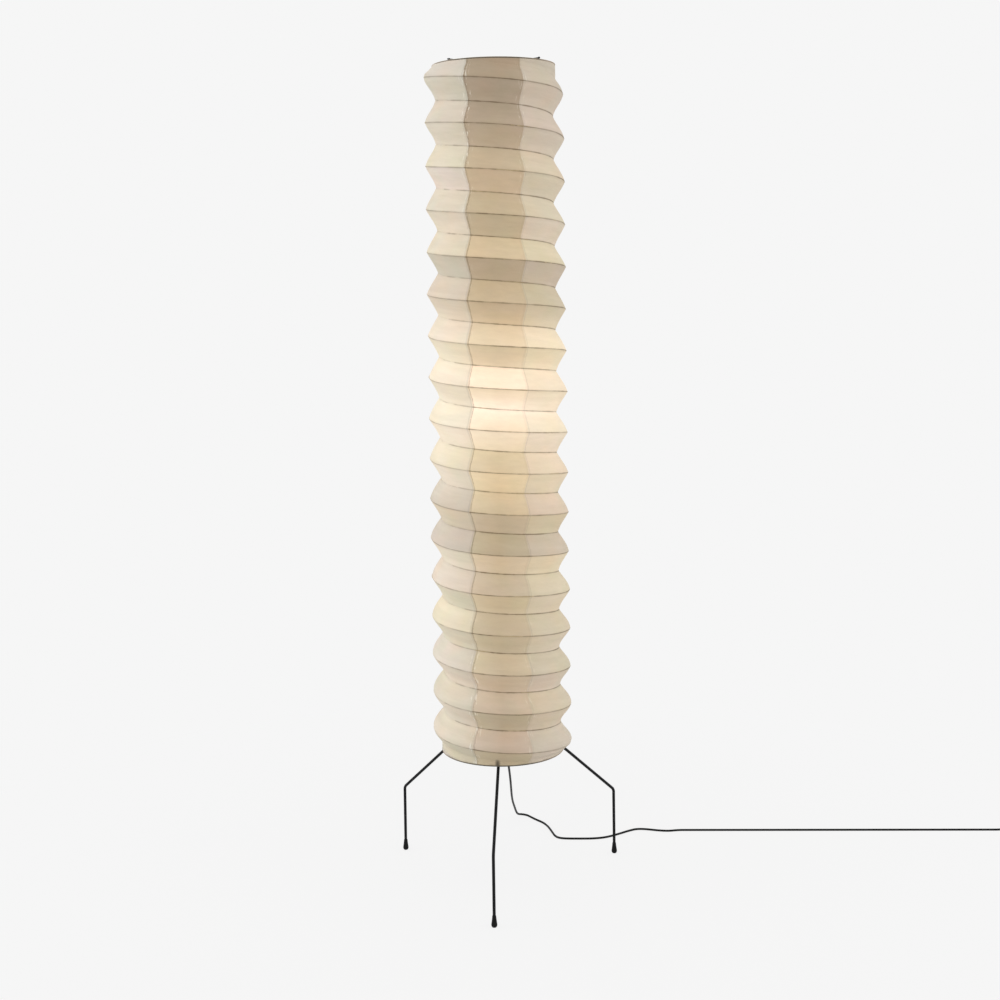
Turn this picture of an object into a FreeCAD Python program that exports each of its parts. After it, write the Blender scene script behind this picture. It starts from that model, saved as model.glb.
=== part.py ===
"""Paper lantern floor lamp: a tall pleated paper shade on a helical bamboo frame, held up by a
steel pole on a hub with three bent rod legs, with one bulb inside and a lead on the floor.

Millimetres, +Z up, floor at z = 0. The lamp's axis stands at y = axis_y, so that the origin is
the middle of the footprint. Azimuths are measured from the front (-Y), counter-clockwise seen
from above.
"""
import FreeCAD
import Part
import Sketcher

import math
import os

from FreeCAD import Placement, Rotation, Vector

DOC = FreeCAD.newDocument("PaperLantern")
UP = Vector(0, 0, 1)

# ---------------------------------------------------------------- driving dimensions

SIZES = (
    ("axis_y", 72.0, "lamp axis behind the middle of the footprint"),
    # paper shade and its bamboo
    ("shade_top", 1930.0, "top edge of the paper"),
    ("shade_bottom", 310.0, "bottom edge of the paper"),
    ("ridge_radius", 164.0, "paper at a ridge"),
    ("valley_radius", 138.0, "paper at a valley"),
    ("rim_radius", 145.0, "paper at both ends"),
    ("paper_wall", 0.5, "paper and paste, measured outwards"),
    ("pitch_ratio", 1.178, "top pitch over bottom pitch: the hung paper opens upwards"),
    ("helix_start", -169.3, "azimuth where the ridge leaves the top edge"),
    ("rib_radius", 0.7, "split bamboo"),
    ("rib_gap", 0.25, "paste between bamboo and paper"),
    # hoops
    ("hoop_wire", 3.0, "wire diameter"),
    ("hoop_gap", 1.5, "paper to hoop"),
    ("top_hoop_drop", 1.4, "hoop centre under the top edge"),
    ("foot_hoop_rise", 1.2, "hoop centre over the bottom edge"),
    # tripod
    ("leg_radius", 3.5, "rod"),
    ("foot_radius", 301.5, "upright part of a leg from the axis"),
    ("leg_slope", 42.0, "degrees above level"),
    ("knee_bend", 14.0, "bend radius of the rod's middle"),
    ("leg_tip", 10.0, "inner end of a leg from the axis"),
    ("leg_fit", 0.05, "rod to the bores that hold it"),
    ("seat_gap", 0.3, "hoop to leg"),
    ("peg_radius", 1.5, "peg that keeps the hoop in place"),
    ("peg_height", 12.0, "peg above the leg's middle line"),
    ("boot_height", 25.0, "rubber boot"),
    ("boot_bulge", 6.7, "widest radius of a boot"),
    ("boot_neck", 4.4, "boot radius at its mouth"),
    ("boot_sole", 4.4, "flat under a boot"),
    ("boot_floor", 5.0, "rubber under the rod"),
    ("hub_radius", 20.0, "turned hub"),
    ("hub_bottom", 405.0, "underside of the hub"),
    ("hub_height", 44.0, "hub"),
    ("hub_chamfer", 2.5, "hub edges"),
    # pole
    ("pole_radius", 5.0, "tube"),
    ("pole_wall", 1.0, "tube wall"),
    ("pole_fit", 0.05, "tube to the bores that hold it"),
    ("pole_foot", 415.0, "lower end of the pole"),
    ("pole_split", 1180.0, "where the two tubes meet"),
    ("joint_pin_length", 60.0, "pin inside both tubes"),
    ("stud_radius", 3.0, "threaded stud on top of the pole"),
    ("stud_depth", 20.0, "stud inside the tube"),
    # top cross
    ("arm_radius", 1.5, "wire"),
    ("arm_overhang", 3.0, "arm past the paper's edge"),
    ("arm_azimuth", 50.0, "first arm"),
    ("boss_radius", 13.0, "disc that holds the arms"),
    ("boss_height", 7.0, "disc"),
    ("nut_radius", 8.0, "knurled nut"),
    ("nut_height", 5.5, "knurled nut"),
    ("nut_fit", 0.05, "nut to stud"),
    # lampholder and its bracket
    ("bulb_offset", 46.0, "bulb in front of the axis"),
    ("bracket_z", 1005.0, "underside of the bracket"),
    ("bracket_width", 14.0, "flat bar"),
    ("bracket_thick", 3.0, "flat bar"),
    ("collar_radius", 9.5, "collar on the pole"),
    ("collar_height", 14.0, "collar on the pole"),
    ("nipple_radius", 4.95, "threaded tube"),
    ("nipple_length", 20.0, "threaded tube"),
    ("nipple_below", 8.0, "threaded tube under the bracket"),
    ("nipple_fit", 0.1, "threaded tube to the holes round it"),
    ("nut_across", 14.0, "nuts on the threaded tube"),
    ("nut_thick", 3.0, "nuts on the threaded tube"),
    ("clamp_radius", 1.5, "clamp screw of the collar"),
    ("clamp_head", 3.5, "clamp screw's head"),
    ("clamp_head_length", 4.0, "clamp screw's head"),
    ("holder_radius", 18.5, "lampholder"),
    ("holder_wall", 2.2, "lampholder"),
    ("cap_height", 19.0, "lampholder's cap"),
    ("cap_base", 3.0, "thickness under the lampholder's cap"),
    ("holder_height", 40.0, "lampholder's barrel"),
    ("insert_height", 14.0, "ceramic insert"),
    ("insert_bore", 2.6, "ceramic insert"),
    ("contact_radius", 4.0, "centre contact"),
    ("contact_height", 1.2, "centre contact"),
    ("contact_gap", 0.4, "centre contact to bulb"),
    ("thread_bore", 13.35, "brass screw shell"),
    ("thread_wall", 0.5, "brass screw shell"),
    ("thread_length", 24.0, "brass screw shell"),
    # bulb
    ("bulb_base_radius", 13.1, "brass screw base"),
    ("bulb_base_length", 21.0, "brass screw base"),
    ("bulb_radius", 30.0, "glass"),
    ("bulb_height", 106.0, "from its tip contact"),
    ("glass_wall", 0.9, "glass"),
    # lead
    ("cord_radius", 2.65, "two-core lead"),
    ("pole_gap", 0.95, "between the lead and the pole"),
    ("cord_azimuth", 60.0, "where the lead runs beside the pole"),
    ("cord_fit", 0.2, "lead to the holes that it runs through"),
    ("gland_length", 26.0, "tapered strain relief"),
    ("gland_radius", 5.6, "strain relief at the hub"),
    ("gland_tip", 3.6, "strain relief at its end"),
    ("floor_gap", 0.05, "lead to the floor"),
    ("clip_wall", 1.0, "saddle clip"),
    ("clip_width", 7.0, "saddle clip"),
    # foot switch on the lead
    ("switch_x", 1334.0, "middle of the switch"),
    ("switch_y", 349.5, "middle of the switch, from the axis"),
    ("switch_turn", 2.5, "degrees"),
    ("switch_length", 68.0, "housing"),
    ("switch_width", 27.0, "housing"),
    ("switch_half", 8.5, "height of each half of the housing"),
    ("switch_wall", 1.6, "housing"),
    ("switch_corner", 7.0, "corner radius of the housing"),
    ("button_radius", 8.6, "push button"),
    ("button_flange", 10.2, "push button"),
    ("flange_thick", 3.0, "push button"),
    ("flange_gap", 0.3, "push button to what stops it"),
    ("works_length", 22.0, "contact block"),
    ("works_width", 15.0, "contact block"),
    ("button_gap", 0.3, "button to cover"),
    ("button_proud", 3.6, "button above the cover"),
    ("button_travel", 3.0, "push button"),
    # coil and plug
    ("coil_x", 1430.0, "middle of the coil"),
    ("coil_y", 312.5, "middle of the coil, from the axis"),
    ("coil_radius", 40.0, "outer turn of the lead's middle"),
    ("coil_gap", 0.65, "between the coil's turns and layers"),
    ("coil_turns", 5.25, "turns in two layers"),
    ("coil_rise", 1.0, "coil above the floor, on its tie"),
    ("tie_wide", 6.0, "tie round the coil"),
    ("tie_thick", 0.7, "tie round the coil"),
    ("tie_gap", 0.25, "tie to the coil"),
    ("tie_azimuth", 300.0, "tie on the coil"),
    ("plug_y", 232.0, "back of the plug, from the axis"),
    ("plug_length", 34.0, "moulded plug"),
    ("plug_width", 35.0, "moulded plug"),
    ("plug_thick", 13.7, "moulded plug"),
    ("plug_relief", 22.0, "tapered end on the lead"),
    ("pin_radius", 2.0, "plug pin"),
    ("pin_length", 19.0, "plug pin"),
    ("pin_spacing", 18.6, "plug pins"),
)

TURNS = 16 + 7 / 8  # of each bamboo helix, in eighths so that both ends fall on a seam
EIGHTHS = round(TURNS * 8)
COIL_EIGHTHS = 10  # stops in the coil's path, in quarters of this many per coil
LEGS = (("front", 0.0), ("right", 120.0), ("left", 240.0))
ARMS = ("front_right", "back_right", "back_left", "front_left")
CLIP_HEIGHTS = (860.0, 730.0, 600.0, 480.0)


class Dim:
    """A number that remembers the sheet formula it came from."""

    def __init__(self, value, text):
        self.value, self.text = float(value), text

    def joined(self, other, sign, value):
        return Dim(value, f"({self.text} {sign} {as_dim(other).text})")

    def __add__(self, other):
        return self.joined(other, "+", self.value + float(other))

    def __sub__(self, other):
        return self.joined(other, "-", self.value - float(other))

    def __mul__(self, other):
        return self.joined(other, "*", self.value * float(other))

    def __truediv__(self, other):
        return self.joined(other, "/", self.value / float(other))

    def __neg__(self):
        return Dim(-self.value, f"(-1 * {self.text})")

    def __float__(self):
        return self.value


def as_dim(x):
    return x if isinstance(x, Dim) else Dim(x, repr(float(x)))


class Sheet:
    """The spreadsheet of driving dimensions; sheet.alias gives a Dim."""

    def __init__(self, rows):
        self.table = DOC.addObject("Spreadsheet::Sheet", "Sizes")
        for number, (alias, value, note) in enumerate(rows, 1):
            self.table.set(f"A{number}", alias)
            self.table.set(f"B{number}", str(value))
            self.table.set(f"C{number}", note)
            self.table.setAlias(f"B{number}", alias)
        DOC.recompute()

    def __getattr__(self, alias):
        return Dim(self.table.get(alias), f"Sizes.{alias}")


S = Sheet(SIZES)
PARTS = []


def bind(feature, **sizes):
    """Set each named property, bound to the sheet where the value comes from it."""
    for name, value in sizes.items():
        if isinstance(value, Dim):
            setattr(feature, name, value.value)
            feature.setExpression(name, value.text)
        else:
            setattr(feature, name, value)
    return feature


def placed(feature, label, x=0.0, y=0.0, z=0.0, turn=0.0):
    """Name a finished sub-part and stand it at x, y (from the lamp's axis) and z, turned about Z."""
    feature.Label = label
    at = {"x": as_dim(x), "y": as_dim(y) + S.axis_y, "z": as_dim(z)}
    base = Vector(*(float(at[k]) for k in "xyz"))
    feature.Placement = Placement(base, Rotation(UP, float(turn)))
    for k, value in at.items():
        feature.setExpression(f"Placement.Base.{k}", value.text)
    PARTS.append(feature)
    return feature


def fixed(label, shape, x=0.0, y=0.0, z=0.0, turn=0.0):
    """A sub-part whose shape is worked out here from the sheet's values."""
    feature = DOC.addObject("Part::Feature", label)
    feature.Shape = shape
    return placed(feature, label, x, y, z, turn)


def azimuth(degrees):
    """Unit vector for an azimuth measured from the front."""
    a = math.radians(degrees - 90)
    return Vector(math.cos(a), math.sin(a), 0)


# ---------------------------------------------------------------- makers


def plane_of(body, role):
    return next(f for f in body.Origin.OriginFeatures if f.Role == role)


def sketch_on(body, name, role, lift=None):
    """A sketch on one of the body's own origin planes, lifted off it by a Dim if given."""
    sketch = body.newObject("Sketcher::SketchObject", name)
    sketch.AttachmentSupport = [(plane_of(body, role), "")]
    sketch.MapMode = "FlatFace"
    if lift is not None:
        sketch.AttachmentOffset = Placement(Vector(0, 0, float(lift)), Rotation())
        sketch.setExpression("AttachmentOffset.Base.z", as_dim(lift).text)
    return sketch


def hold(sketch, kind, *where):
    """Add a constraint; a Dim at the end is bound to the sheet."""
    value = where[-1]
    if not isinstance(value, Dim):
        sketch.addConstraint(Sketcher.Constraint(kind, *where))
        return
    number = sketch.addConstraint(Sketcher.Constraint(kind, *where[:-1], value.value))
    sketch.setExpression(f"Constraints[{number}]", value.text)


def pin_point(sketch, edge, end, x, y):
    """Hold one end of an edge at x, y, on an axis where a coordinate is nought."""
    for kind, axis, value in (("DistanceX", -2, x), ("DistanceY", -1, y)):
        if float(value) == 0:
            hold(sketch, "PointOnObject", edge, end, axis)
        else:
            hold(sketch, kind, -1, 1, edge, end, as_dim(value))


def outline(sketch, corners):
    """A closed outline of straight lines through corners, each a pair of Dims."""
    spots = [Vector(float(x), float(y), 0) for x, y in corners]
    for k, spot in enumerate(spots):
        sketch.addGeometry(Part.LineSegment(spot, spots[(k + 1) % len(spots)]), False)
    for k, (x, y) in enumerate(corners):
        hold(sketch, "Coincident", k, 2, (k + 1) % len(corners), 1)
        pin_point(sketch, k, 1, x, y)


def circle(sketch, radius, x=0.0, y=0.0):
    edge = sketch.addGeometry(
        Part.Circle(Vector(float(x), float(y), 0), UP, float(radius)), False
    )
    hold(sketch, "Radius", edge, as_dim(radius))
    pin_point(sketch, edge, 3, x, y)


def turned(name, corners):
    """A body turned about Z from an outline of (radius, height) corners."""
    body = DOC.addObject("PartDesign::Body", name)
    profile = sketch_on(body, f"{name}_profile", "XZ_Plane")
    outline(profile, corners)
    spun = body.newObject("PartDesign::Revolution", f"{name}_turned")
    spun.Profile = profile
    spun.ReferenceAxis = (profile, ["V_Axis"])
    spun.Angle = 360
    body.Tip = spun
    return body


def drilled(body, name, radius, x, y, lift, depth):
    """A round pocket cut down into a body from the height lift."""
    DOC.recompute()
    before = body.Shape.Volume
    mouth = sketch_on(body, f"{name}_mouth", "XY_Plane", lift)
    circle(mouth, radius, x, y)
    pocket = body.newObject("PartDesign::Pocket", name)
    pocket.Profile = mouth
    bind(pocket, Length=as_dim(depth))
    body.Tip = pocket
    DOC.recompute()
    if body.Shape.Volume >= before - 1e-6:
        raise RuntimeError(f"{name} cuts nothing")
    return pocket


def tube_corners(inner, outer, low, high):
    return [(inner, low), (outer, low), (outer, high), (inner, high)]


def bar(name, radius, length):
    """A plain round bar standing on z = 0."""
    return bind(DOC.addObject("Part::Cylinder", name), Radius=radius, Height=length)


def block(name, length, width, height):
    """A plain block, centred in x and y, standing on z = 0."""
    box = bind(DOC.addObject("Part::Box", name), Length=length, Width=width, Height=height)
    box.Placement.Base = Vector(-float(length) / 2, -float(width) / 2, 0)
    box.setExpression("Placement.Base.x", f"-1 * {as_dim(length).text} / 2")
    box.setExpression("Placement.Base.y", f"-1 * {as_dim(width).text} / 2")
    return box


def ring(name, radius, wire):
    """A wire hoop in the XY plane."""
    return bind(DOC.addObject("Part::Torus", name), Radius1=radius, Radius2=wire)


def cut(name, base, *tools):
    """base with each tool taken away; a tool that misses is an error."""
    for k, tool in enumerate(tools):
        DOC.recompute()
        before = base.Shape.Volume
        result = DOC.addObject("Part::Cut", f"{name}_{k}")
        result.Base = base
        result.Tool = tool
        DOC.recompute()
        if result.Shape.Volume >= before - 1e-6:
            raise RuntimeError(f"{name}: a cut misses")
        base = result
    return base


def fused(name, *pieces):
    result = DOC.addObject("Part::MultiFuse", name)
    result.Shapes = list(pieces)
    return result


def grouped(name, *pieces):
    """Identical loose pieces kept as one sub-part of separate solids."""
    result = DOC.addObject("Part::Compound", name)
    result.Links = list(pieces)
    return result


def moved(feature, x=0.0, y=0.0, z=0.0, axis=UP, turn=0.0):
    """Place a piece inside its own sub-part."""
    feature.Placement = Placement(
        Vector(float(x), float(y), float(z)), Rotation(axis, float(turn))
    )
    for k, value in (("x", x), ("y", y), ("z", z)):
        if isinstance(value, Dim):
            feature.setExpression(f"Placement.Base.{k}", value.text)
    return feature


# ---------------------------------------------------------------- round wire along a path


def swept(edges, radius):
    """A round solid along tangent edges, checked against section times length."""
    path = Part.Wire(edges)
    first = edges[0]
    start = first.valueAt(first.FirstParameter)
    way = first.tangentAt(first.FirstParameter)
    section = Part.Wire(Part.makeCircle(radius, start, way))
    solid = path.makePipeShell([section], True, False)
    expected = math.pi * radius * radius * path.Length
    if abs(solid.Volume / expected - 1) > 0.01:
        raise RuntimeError(f"a tube has volume {solid.Volume:.0f}, not {expected:.0f}")
    return solid, path.Length


def rounded(points, share=0.45, radii=()):
    """Straight runs joined by tangent arcs, with the arcs' radii. Each arc's radius is share of
    the shorter run over the tangent of half the turn, unless radii gives it."""
    edges, used = [], []
    at = points[0]
    for k in range(1, len(points) - 1):
        back, on = points[k - 1] - points[k], points[k + 1] - points[k]
        half = (math.pi - back.getAngle(on)) / 2
        wanted = radii[k - 1] if radii else share * min(back.Length, on.Length) / math.tan(half)
        reach = wanted * math.tan(half)
        begin = points[k] + back.normalize() * reach
        end = points[k] + on.normalize() * reach
        inward = (begin + end) * 0.5 - points[k]
        top = points[k] + inward.normalize() * (wanted / math.cos(half) - wanted)
        edges.append(Part.LineSegment(at, begin).toShape())
        edges.append(Part.Arc(begin, top, end).toShape())
        used.append(wanted)
        at = end
    edges.append(Part.LineSegment(at, points[-1]).toShape())
    return edges, used


def half_biarc(start, apex, end):
    """The arc from start to end whose tangents meet at apex."""
    middle = (start + end) * 0.5
    chord = (end - start).Length / 2
    slant = math.acos(min(1.0, chord / (apex - start).Length))
    out = (apex - middle).normalize()
    return Part.Arc(start, middle + out * (chord * math.tan(slant / 2)), end).toShape()


def biarcs(point, tangent, stops):
    """Tangent arcs through point(t) at each stop, two from stop to stop."""
    edges = []
    for a, b in zip(stops, stops[1:]):
        p, q = point(a), point(b)
        u, v = tangent(a), tangent(b)
        gap, both = q - p, u + v
        spread = 2 * (1 - u.dot(v))
        along = gap.dot(both)
        if spread < 1e-9:
            reach = gap.dot(gap) / (2 * along)
        else:
            reach = (math.sqrt(along * along + spread * gap.dot(gap)) - along) / spread
        first, second = p + u * reach, q - v * reach
        joint = (first + second) * 0.5
        edges += [half_biarc(p, first, joint), half_biarc(joint, second, q)]
    return edges


def slope_of(point, t, step=1e-4):
    return (point(t + step) - point(t - step)).normalize()


def least_gap(point, stops, radius, per_turn):
    """The least gap between a wound tube and itself, from points along its middle."""
    spots = [point(t) for t in stops]
    near = per_turn // 2
    pairs = (
        (spots[i] - spots[j]).Length
        for i in range(len(spots))
        for j in range(i + near, len(spots))
    )
    return min(pairs) - 2 * radius


# ---------------------------------------------------------------- bamboo helix and paper


def helix_height(turns):
    """Height after so many turns down from the top edge: the pitch shrinks steadily."""
    drop = float(S.shade_top) - float(S.shade_bottom)
    ratio = float(S.pitch_ratio)
    top_pitch = 2 * drop / TURNS * ratio / (1 + ratio)
    loss = top_pitch * (1 - 1 / ratio) / (2 * TURNS)
    return float(S.shade_top) - top_pitch * turns + loss * turns * turns


def full_width(turns):
    """0 at both edges of the paper and 1 from an eighth of a turn inside them."""
    inside = min(turns, TURNS - turns) * 8
    return (1 - math.cos(math.pi * min(1.0, max(0.0, inside)))) / 2


def helix_point(turns, peak, shift, inset=0.0):
    """A point on the ridge line (shift 0) or on the valley line (shift one half)."""
    rim = float(S.rim_radius)
    radius = rim + (peak - rim) * full_width(turns) - inset
    spot = azimuth(float(S.helix_start) + 360 * (turns - shift)) * radius
    return spot + UP * helix_height(turns)


def paper_skin(inset):
    """One side of the paper: ruled strips between the ridge line and the valley line, in eighths
    of a turn, closed to the round edges at top and bottom. Returns its faces and its two rims."""
    ridge, valley = float(S.ridge_radius), float(S.valley_radius)
    rim = float(S.rim_radius) - inset
    lines = {}

    def line(column, step):
        """The arc that runs from seam column at step eighths down to the next seam."""
        if (column % 8, step) not in lines:
            on_ridge = (step - column) % 8 == 0
            peak, shift = (ridge, 0.0) if on_ridge else (valley, 0.5)
            three = [helix_point((step + k) / 8, peak, shift, inset) for k in (0, 0.5, 1)]
            lines[column % 8, step] = Part.Arc(*three).toShape()
        return lines[column % 8, step]

    def edge_arc(column, height):
        start = float(S.helix_start) + 45 * column
        three = [azimuth(start + a) * rim + UP * height for a in (0, 22.5, 45)]
        return Part.Arc(*three).toShape()

    faces, rims = [], ([], [])
    for column in range(8):
        steps = range(column % 4, EIGHTHS, 4)
        top = edge_arc(column, float(S.shade_top))
        bottom = edge_arc(column, float(S.shade_bottom))
        rims[0].append(top)
        rims[1].append(bottom)
        levels = [top] + [line(column, step) for step in steps] + [bottom]
        faces += [strip(a, b) for a, b in zip(levels, levels[1:])]
    return faces, rims


def strip(upper, lower):
    """A ruled face between two arcs; where they share an end it is a three-cornered one."""
    ends = [(e.valueAt(e.FirstParameter), e.valueAt(e.LastParameter)) for e in (upper, lower)]
    if (ends[0][0] - ends[1][0]).Length < 1e-6 or (ends[0][1] - ends[1][1]).Length < 1e-6:
        upper, lower = Part.Wire([upper, lower]).Edges
    return Part.makeRuledSurface(upper, lower)


def paper_shade():
    outer, outer_rims = paper_skin(0.0)
    inner, inner_rims = paper_skin(float(S.paper_wall))
    edges = [
        strip(a, b) for o, i in zip(outer_rims, inner_rims) for a, b in zip(o, i)
    ]
    shell = Part.makeCompound(outer + inner + edges)
    shell.sewShape(1e-4)
    solid = Part.Solid(Part.Shell(shell.Faces))
    if solid.Volume < 0:
        solid.reverse()
    fixed("paper_shade", solid)


def fold_slope(turns):
    """The flatter of the paper's two slopes away from a ridge, which go in to the valleys half a
    turn above and below, or to the round edge where that is nearer."""
    ridge = float(S.ridge_radius)
    slopes = []
    for other in (max(0, turns - 0.5), min(TURNS, turns + 0.5)):
        inner = float(S.valley_radius if 0 < other < TURNS else S.rim_radius)
        rise = abs(helix_height(other) - helix_height(turns))
        slopes.append(math.atan2(rise, ridge - inner))
    return min(slopes)


def bamboo_ribs():
    """The two split-bamboo helices inside the paper. The ridge's lies in the fold, clear of both
    slopes of the paper, and the valley's lies behind the fold."""
    behind = float(S.rib_radius) + float(S.rib_gap)
    wall = float(S.paper_wall)

    def on_ridge(t):
        inset = wall + behind / math.sin(fold_slope(t))
        return helix_point(t, float(S.ridge_radius), 0.0, inset)

    def on_valley(t):
        return helix_point(t, float(S.valley_radius), 0.5, wall + behind)

    quarters = [k / 4 for k in range(1, round(4 * TURNS) - 1)]
    stops = [1 / 8] + quarters + [TURNS - 1 / 8]
    for name, point in (("ridge_rib", on_ridge), ("valley_rib", on_valley)):
        path = biarcs(point, lambda t: slope_of(point, t), stops)
        solid, length = swept(path, float(S.rib_radius))
        print(f"{name}: {length:.0f} mm of bamboo")
        fixed(name, solid)


# ---------------------------------------------------------------- hoops, legs, boots and hub


def hoop_radius():
    return S.rim_radius - S.paper_wall - S.hoop_gap - S.hoop_wire / 2


def hoops():
    for name, height in (
        ("top_hoop", S.shade_top - S.top_hoop_drop),
        ("bottom_hoop", S.shade_bottom + S.foot_hoop_rise),
    ):
        placed(ring(name, hoop_radius(), S.hoop_wire / 2), name, z=height)


def leg_height(radius):
    """Height of a leg's middle line where it slopes, at a radius from the axis."""
    slope = math.radians(float(S.leg_slope))
    clear = float(S.hoop_wire) / 2 + float(S.leg_radius) + float(S.seat_gap)
    seat = float(S.shade_bottom) + float(S.foot_hoop_rise) - clear / math.cos(slope)
    return seat + math.tan(slope) * (float(hoop_radius()) - radius)


def leg_rod():
    """Straight up from the boot, round the knee and up the slope to the tip, in the +X plane."""
    out, tip = float(S.foot_radius), float(S.leg_tip)
    points = [
        Vector(out, 0, float(S.boot_floor)),
        Vector(out, 0, leg_height(out)),
        Vector(tip, 0, leg_height(tip)),
    ]
    edges, _ = rounded(points, radii=(float(S.knee_bend),))
    return swept(edges, float(S.leg_radius))[0]


def hoop_peg():
    """Short wire on the leg, just inside the hoop."""
    inside = float(hoop_radius()) - float(S.hoop_wire) / 2 - float(S.seat_gap)
    at = inside - float(S.peg_radius)
    low = leg_height(at)
    peg = Part.makeCylinder(
        float(S.peg_radius), float(S.peg_height), Vector(at, 0, low)
    )
    return peg.cut(leg_rod())


def boot():
    """Rubber boot, turned: a flat sole, a round bulge and a neck, with a blind bore."""
    sole, bulge, neck = float(S.boot_sole), float(S.boot_bulge), float(S.boot_neck)
    high, floor = float(S.boot_height), float(S.boot_floor)
    bore = float(S.leg_radius) + float(S.leg_fit)
    belly = floor + 1.5
    side = (bulge + neck) / 2
    edges = [
        Part.LineSegment(Vector(0, 0, 0), Vector(sole, 0, 0)),
        Part.Arc(Vector(sole, 0, 0), Vector(bulge - 0.5, 0, belly * 0.42), Vector(bulge, 0, belly)),
        Part.Arc(
            Vector(bulge, 0, belly),
            Vector(side - 0.2, 0, (belly + high) / 2),
            Vector(neck, 0, high),
        ),
        Part.LineSegment(Vector(neck, 0, high), Vector(bore, 0, high)),
        Part.LineSegment(Vector(bore, 0, high), Vector(bore, 0, floor)),
        Part.LineSegment(Vector(bore, 0, floor), Vector(0, 0, floor)),
        Part.LineSegment(Vector(0, 0, floor), Vector(0, 0, 0)),
    ]
    face = Part.Face(Part.Wire([e.toShape() for e in edges]))
    return face.revolve(Vector(0, 0, 0), UP, 360)


def tripod():
    rod, peg, rubber = leg_rod(), hoop_peg(), boot()
    for side, turn in LEGS:
        fixed(f"leg_{side}", rod, turn=turn - 90)
        fixed(f"hoop_peg_{side}", peg, turn=turn - 90)
        foot = azimuth(turn) * float(S.foot_radius)
        fixed(f"boot_{side}", rubber, x=foot.x, y=foot.y)


def leg_hub():
    """Turned hub with a bore for the pole, three slanting bores for the legs, a hole for the
    lead and a threaded hole for the set screw at the back."""
    c = S.hub_chamfer
    corners = [
        (0.0, 0.0),
        (S.hub_radius - c, 0.0),
        (S.hub_radius, c),
        (S.hub_radius, S.hub_height - c),
        (S.hub_radius - c, S.hub_height),
        (0.0, S.hub_height),
    ]
    hub = turned("hub_turned", corners)
    depth = S.hub_bottom + S.hub_height - S.pole_foot
    drilled(hub, "pole_bore", S.pole_radius + S.pole_fit, 0.0, 0.0, S.hub_height, depth)
    beside = azimuth(float(S.cord_azimuth))
    drilled(
        hub,
        "lead_hole",
        S.cord_radius + S.cord_fit,
        lead_offset() * beside.x,
        lead_offset() * beside.y,
        S.hub_height,
        S.hub_height,
    )
    slope = math.radians(float(S.leg_slope))
    tip = float(S.leg_tip)
    tools = []
    for side, turn in LEGS:
        outward = azimuth(turn)
        start = outward * tip + UP * (leg_height(tip) - float(S.hub_bottom))
        way = outward * math.cos(slope) - UP * math.sin(slope)
        tool = bar(f"leg_bore_{side}", S.leg_radius + S.leg_fit, S.hub_radius * 2)
        tools.append(moved(tool, start.x, start.y, start.z))
        tool.Placement.Rotation = Rotation(UP, way)
    tools.append(set_screw_shape("set_screw_hole", S.hub_radius * 2))
    placed(cut("leg_hub_bored", hub, *tools), "leg_hub", z=S.hub_bottom)


def set_screw_shape(name, length):
    """A level bar at the back of the hub, starting on the pole."""
    screw = bar(name, 2.0, length)
    moved(screw, 0.0, S.pole_radius + S.pole_fit, S.hub_height * 0.75)
    screw.Placement.Rotation = Rotation(UP, Vector(0, 1, 0))
    return screw


def set_screw():
    length = S.hub_radius - S.pole_radius - 1.5
    screw = set_screw_shape("set_screw_body", length)
    socket = bar("set_screw_socket", 1.1, 3.0)
    moved(socket, 0.0, S.hub_radius - 3.5, S.hub_height * 0.75)
    socket.Placement.Rotation = Rotation(UP, Vector(0, 1, 0))
    placed(cut("set_screw_drilled", screw, socket), "pole_set_screw", z=S.hub_bottom)


# ---------------------------------------------------------------- pole and top cross


def boss_bottom():
    """The arms lie on the hoop, and go through the middle of the boss."""
    return S.shade_top - S.top_hoop_drop + S.hoop_wire / 2 + S.arm_radius + 0.1 - S.boss_height / 2


def pole():
    inner = S.pole_radius - S.pole_wall
    lower = tube_corners(inner, S.pole_radius, 0.0, S.pole_split - S.pole_foot)
    placed(turned("lower_tube", lower), "lower_pole", z=S.pole_foot)
    upper = tube_corners(inner, S.pole_radius, 0.0, boss_bottom() - S.pole_split)
    placed(turned("upper_tube", upper), "upper_pole", z=S.pole_split)
    pin = bar("pole_joint_pin", inner - S.pole_fit, S.joint_pin_length)
    placed(pin, "pole_joint_pin", z=S.pole_split - S.joint_pin_length / 2)
    plug = bar("stud_plug", inner - S.pole_fit, S.stud_depth)
    moved(plug, z=-S.stud_depth)
    thread = bar("stud_thread", S.stud_radius, S.boss_height + S.nut_height - 0.8)
    placed(fused("top_stud_joined", plug, thread), "top_stud", z=boss_bottom())


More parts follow.
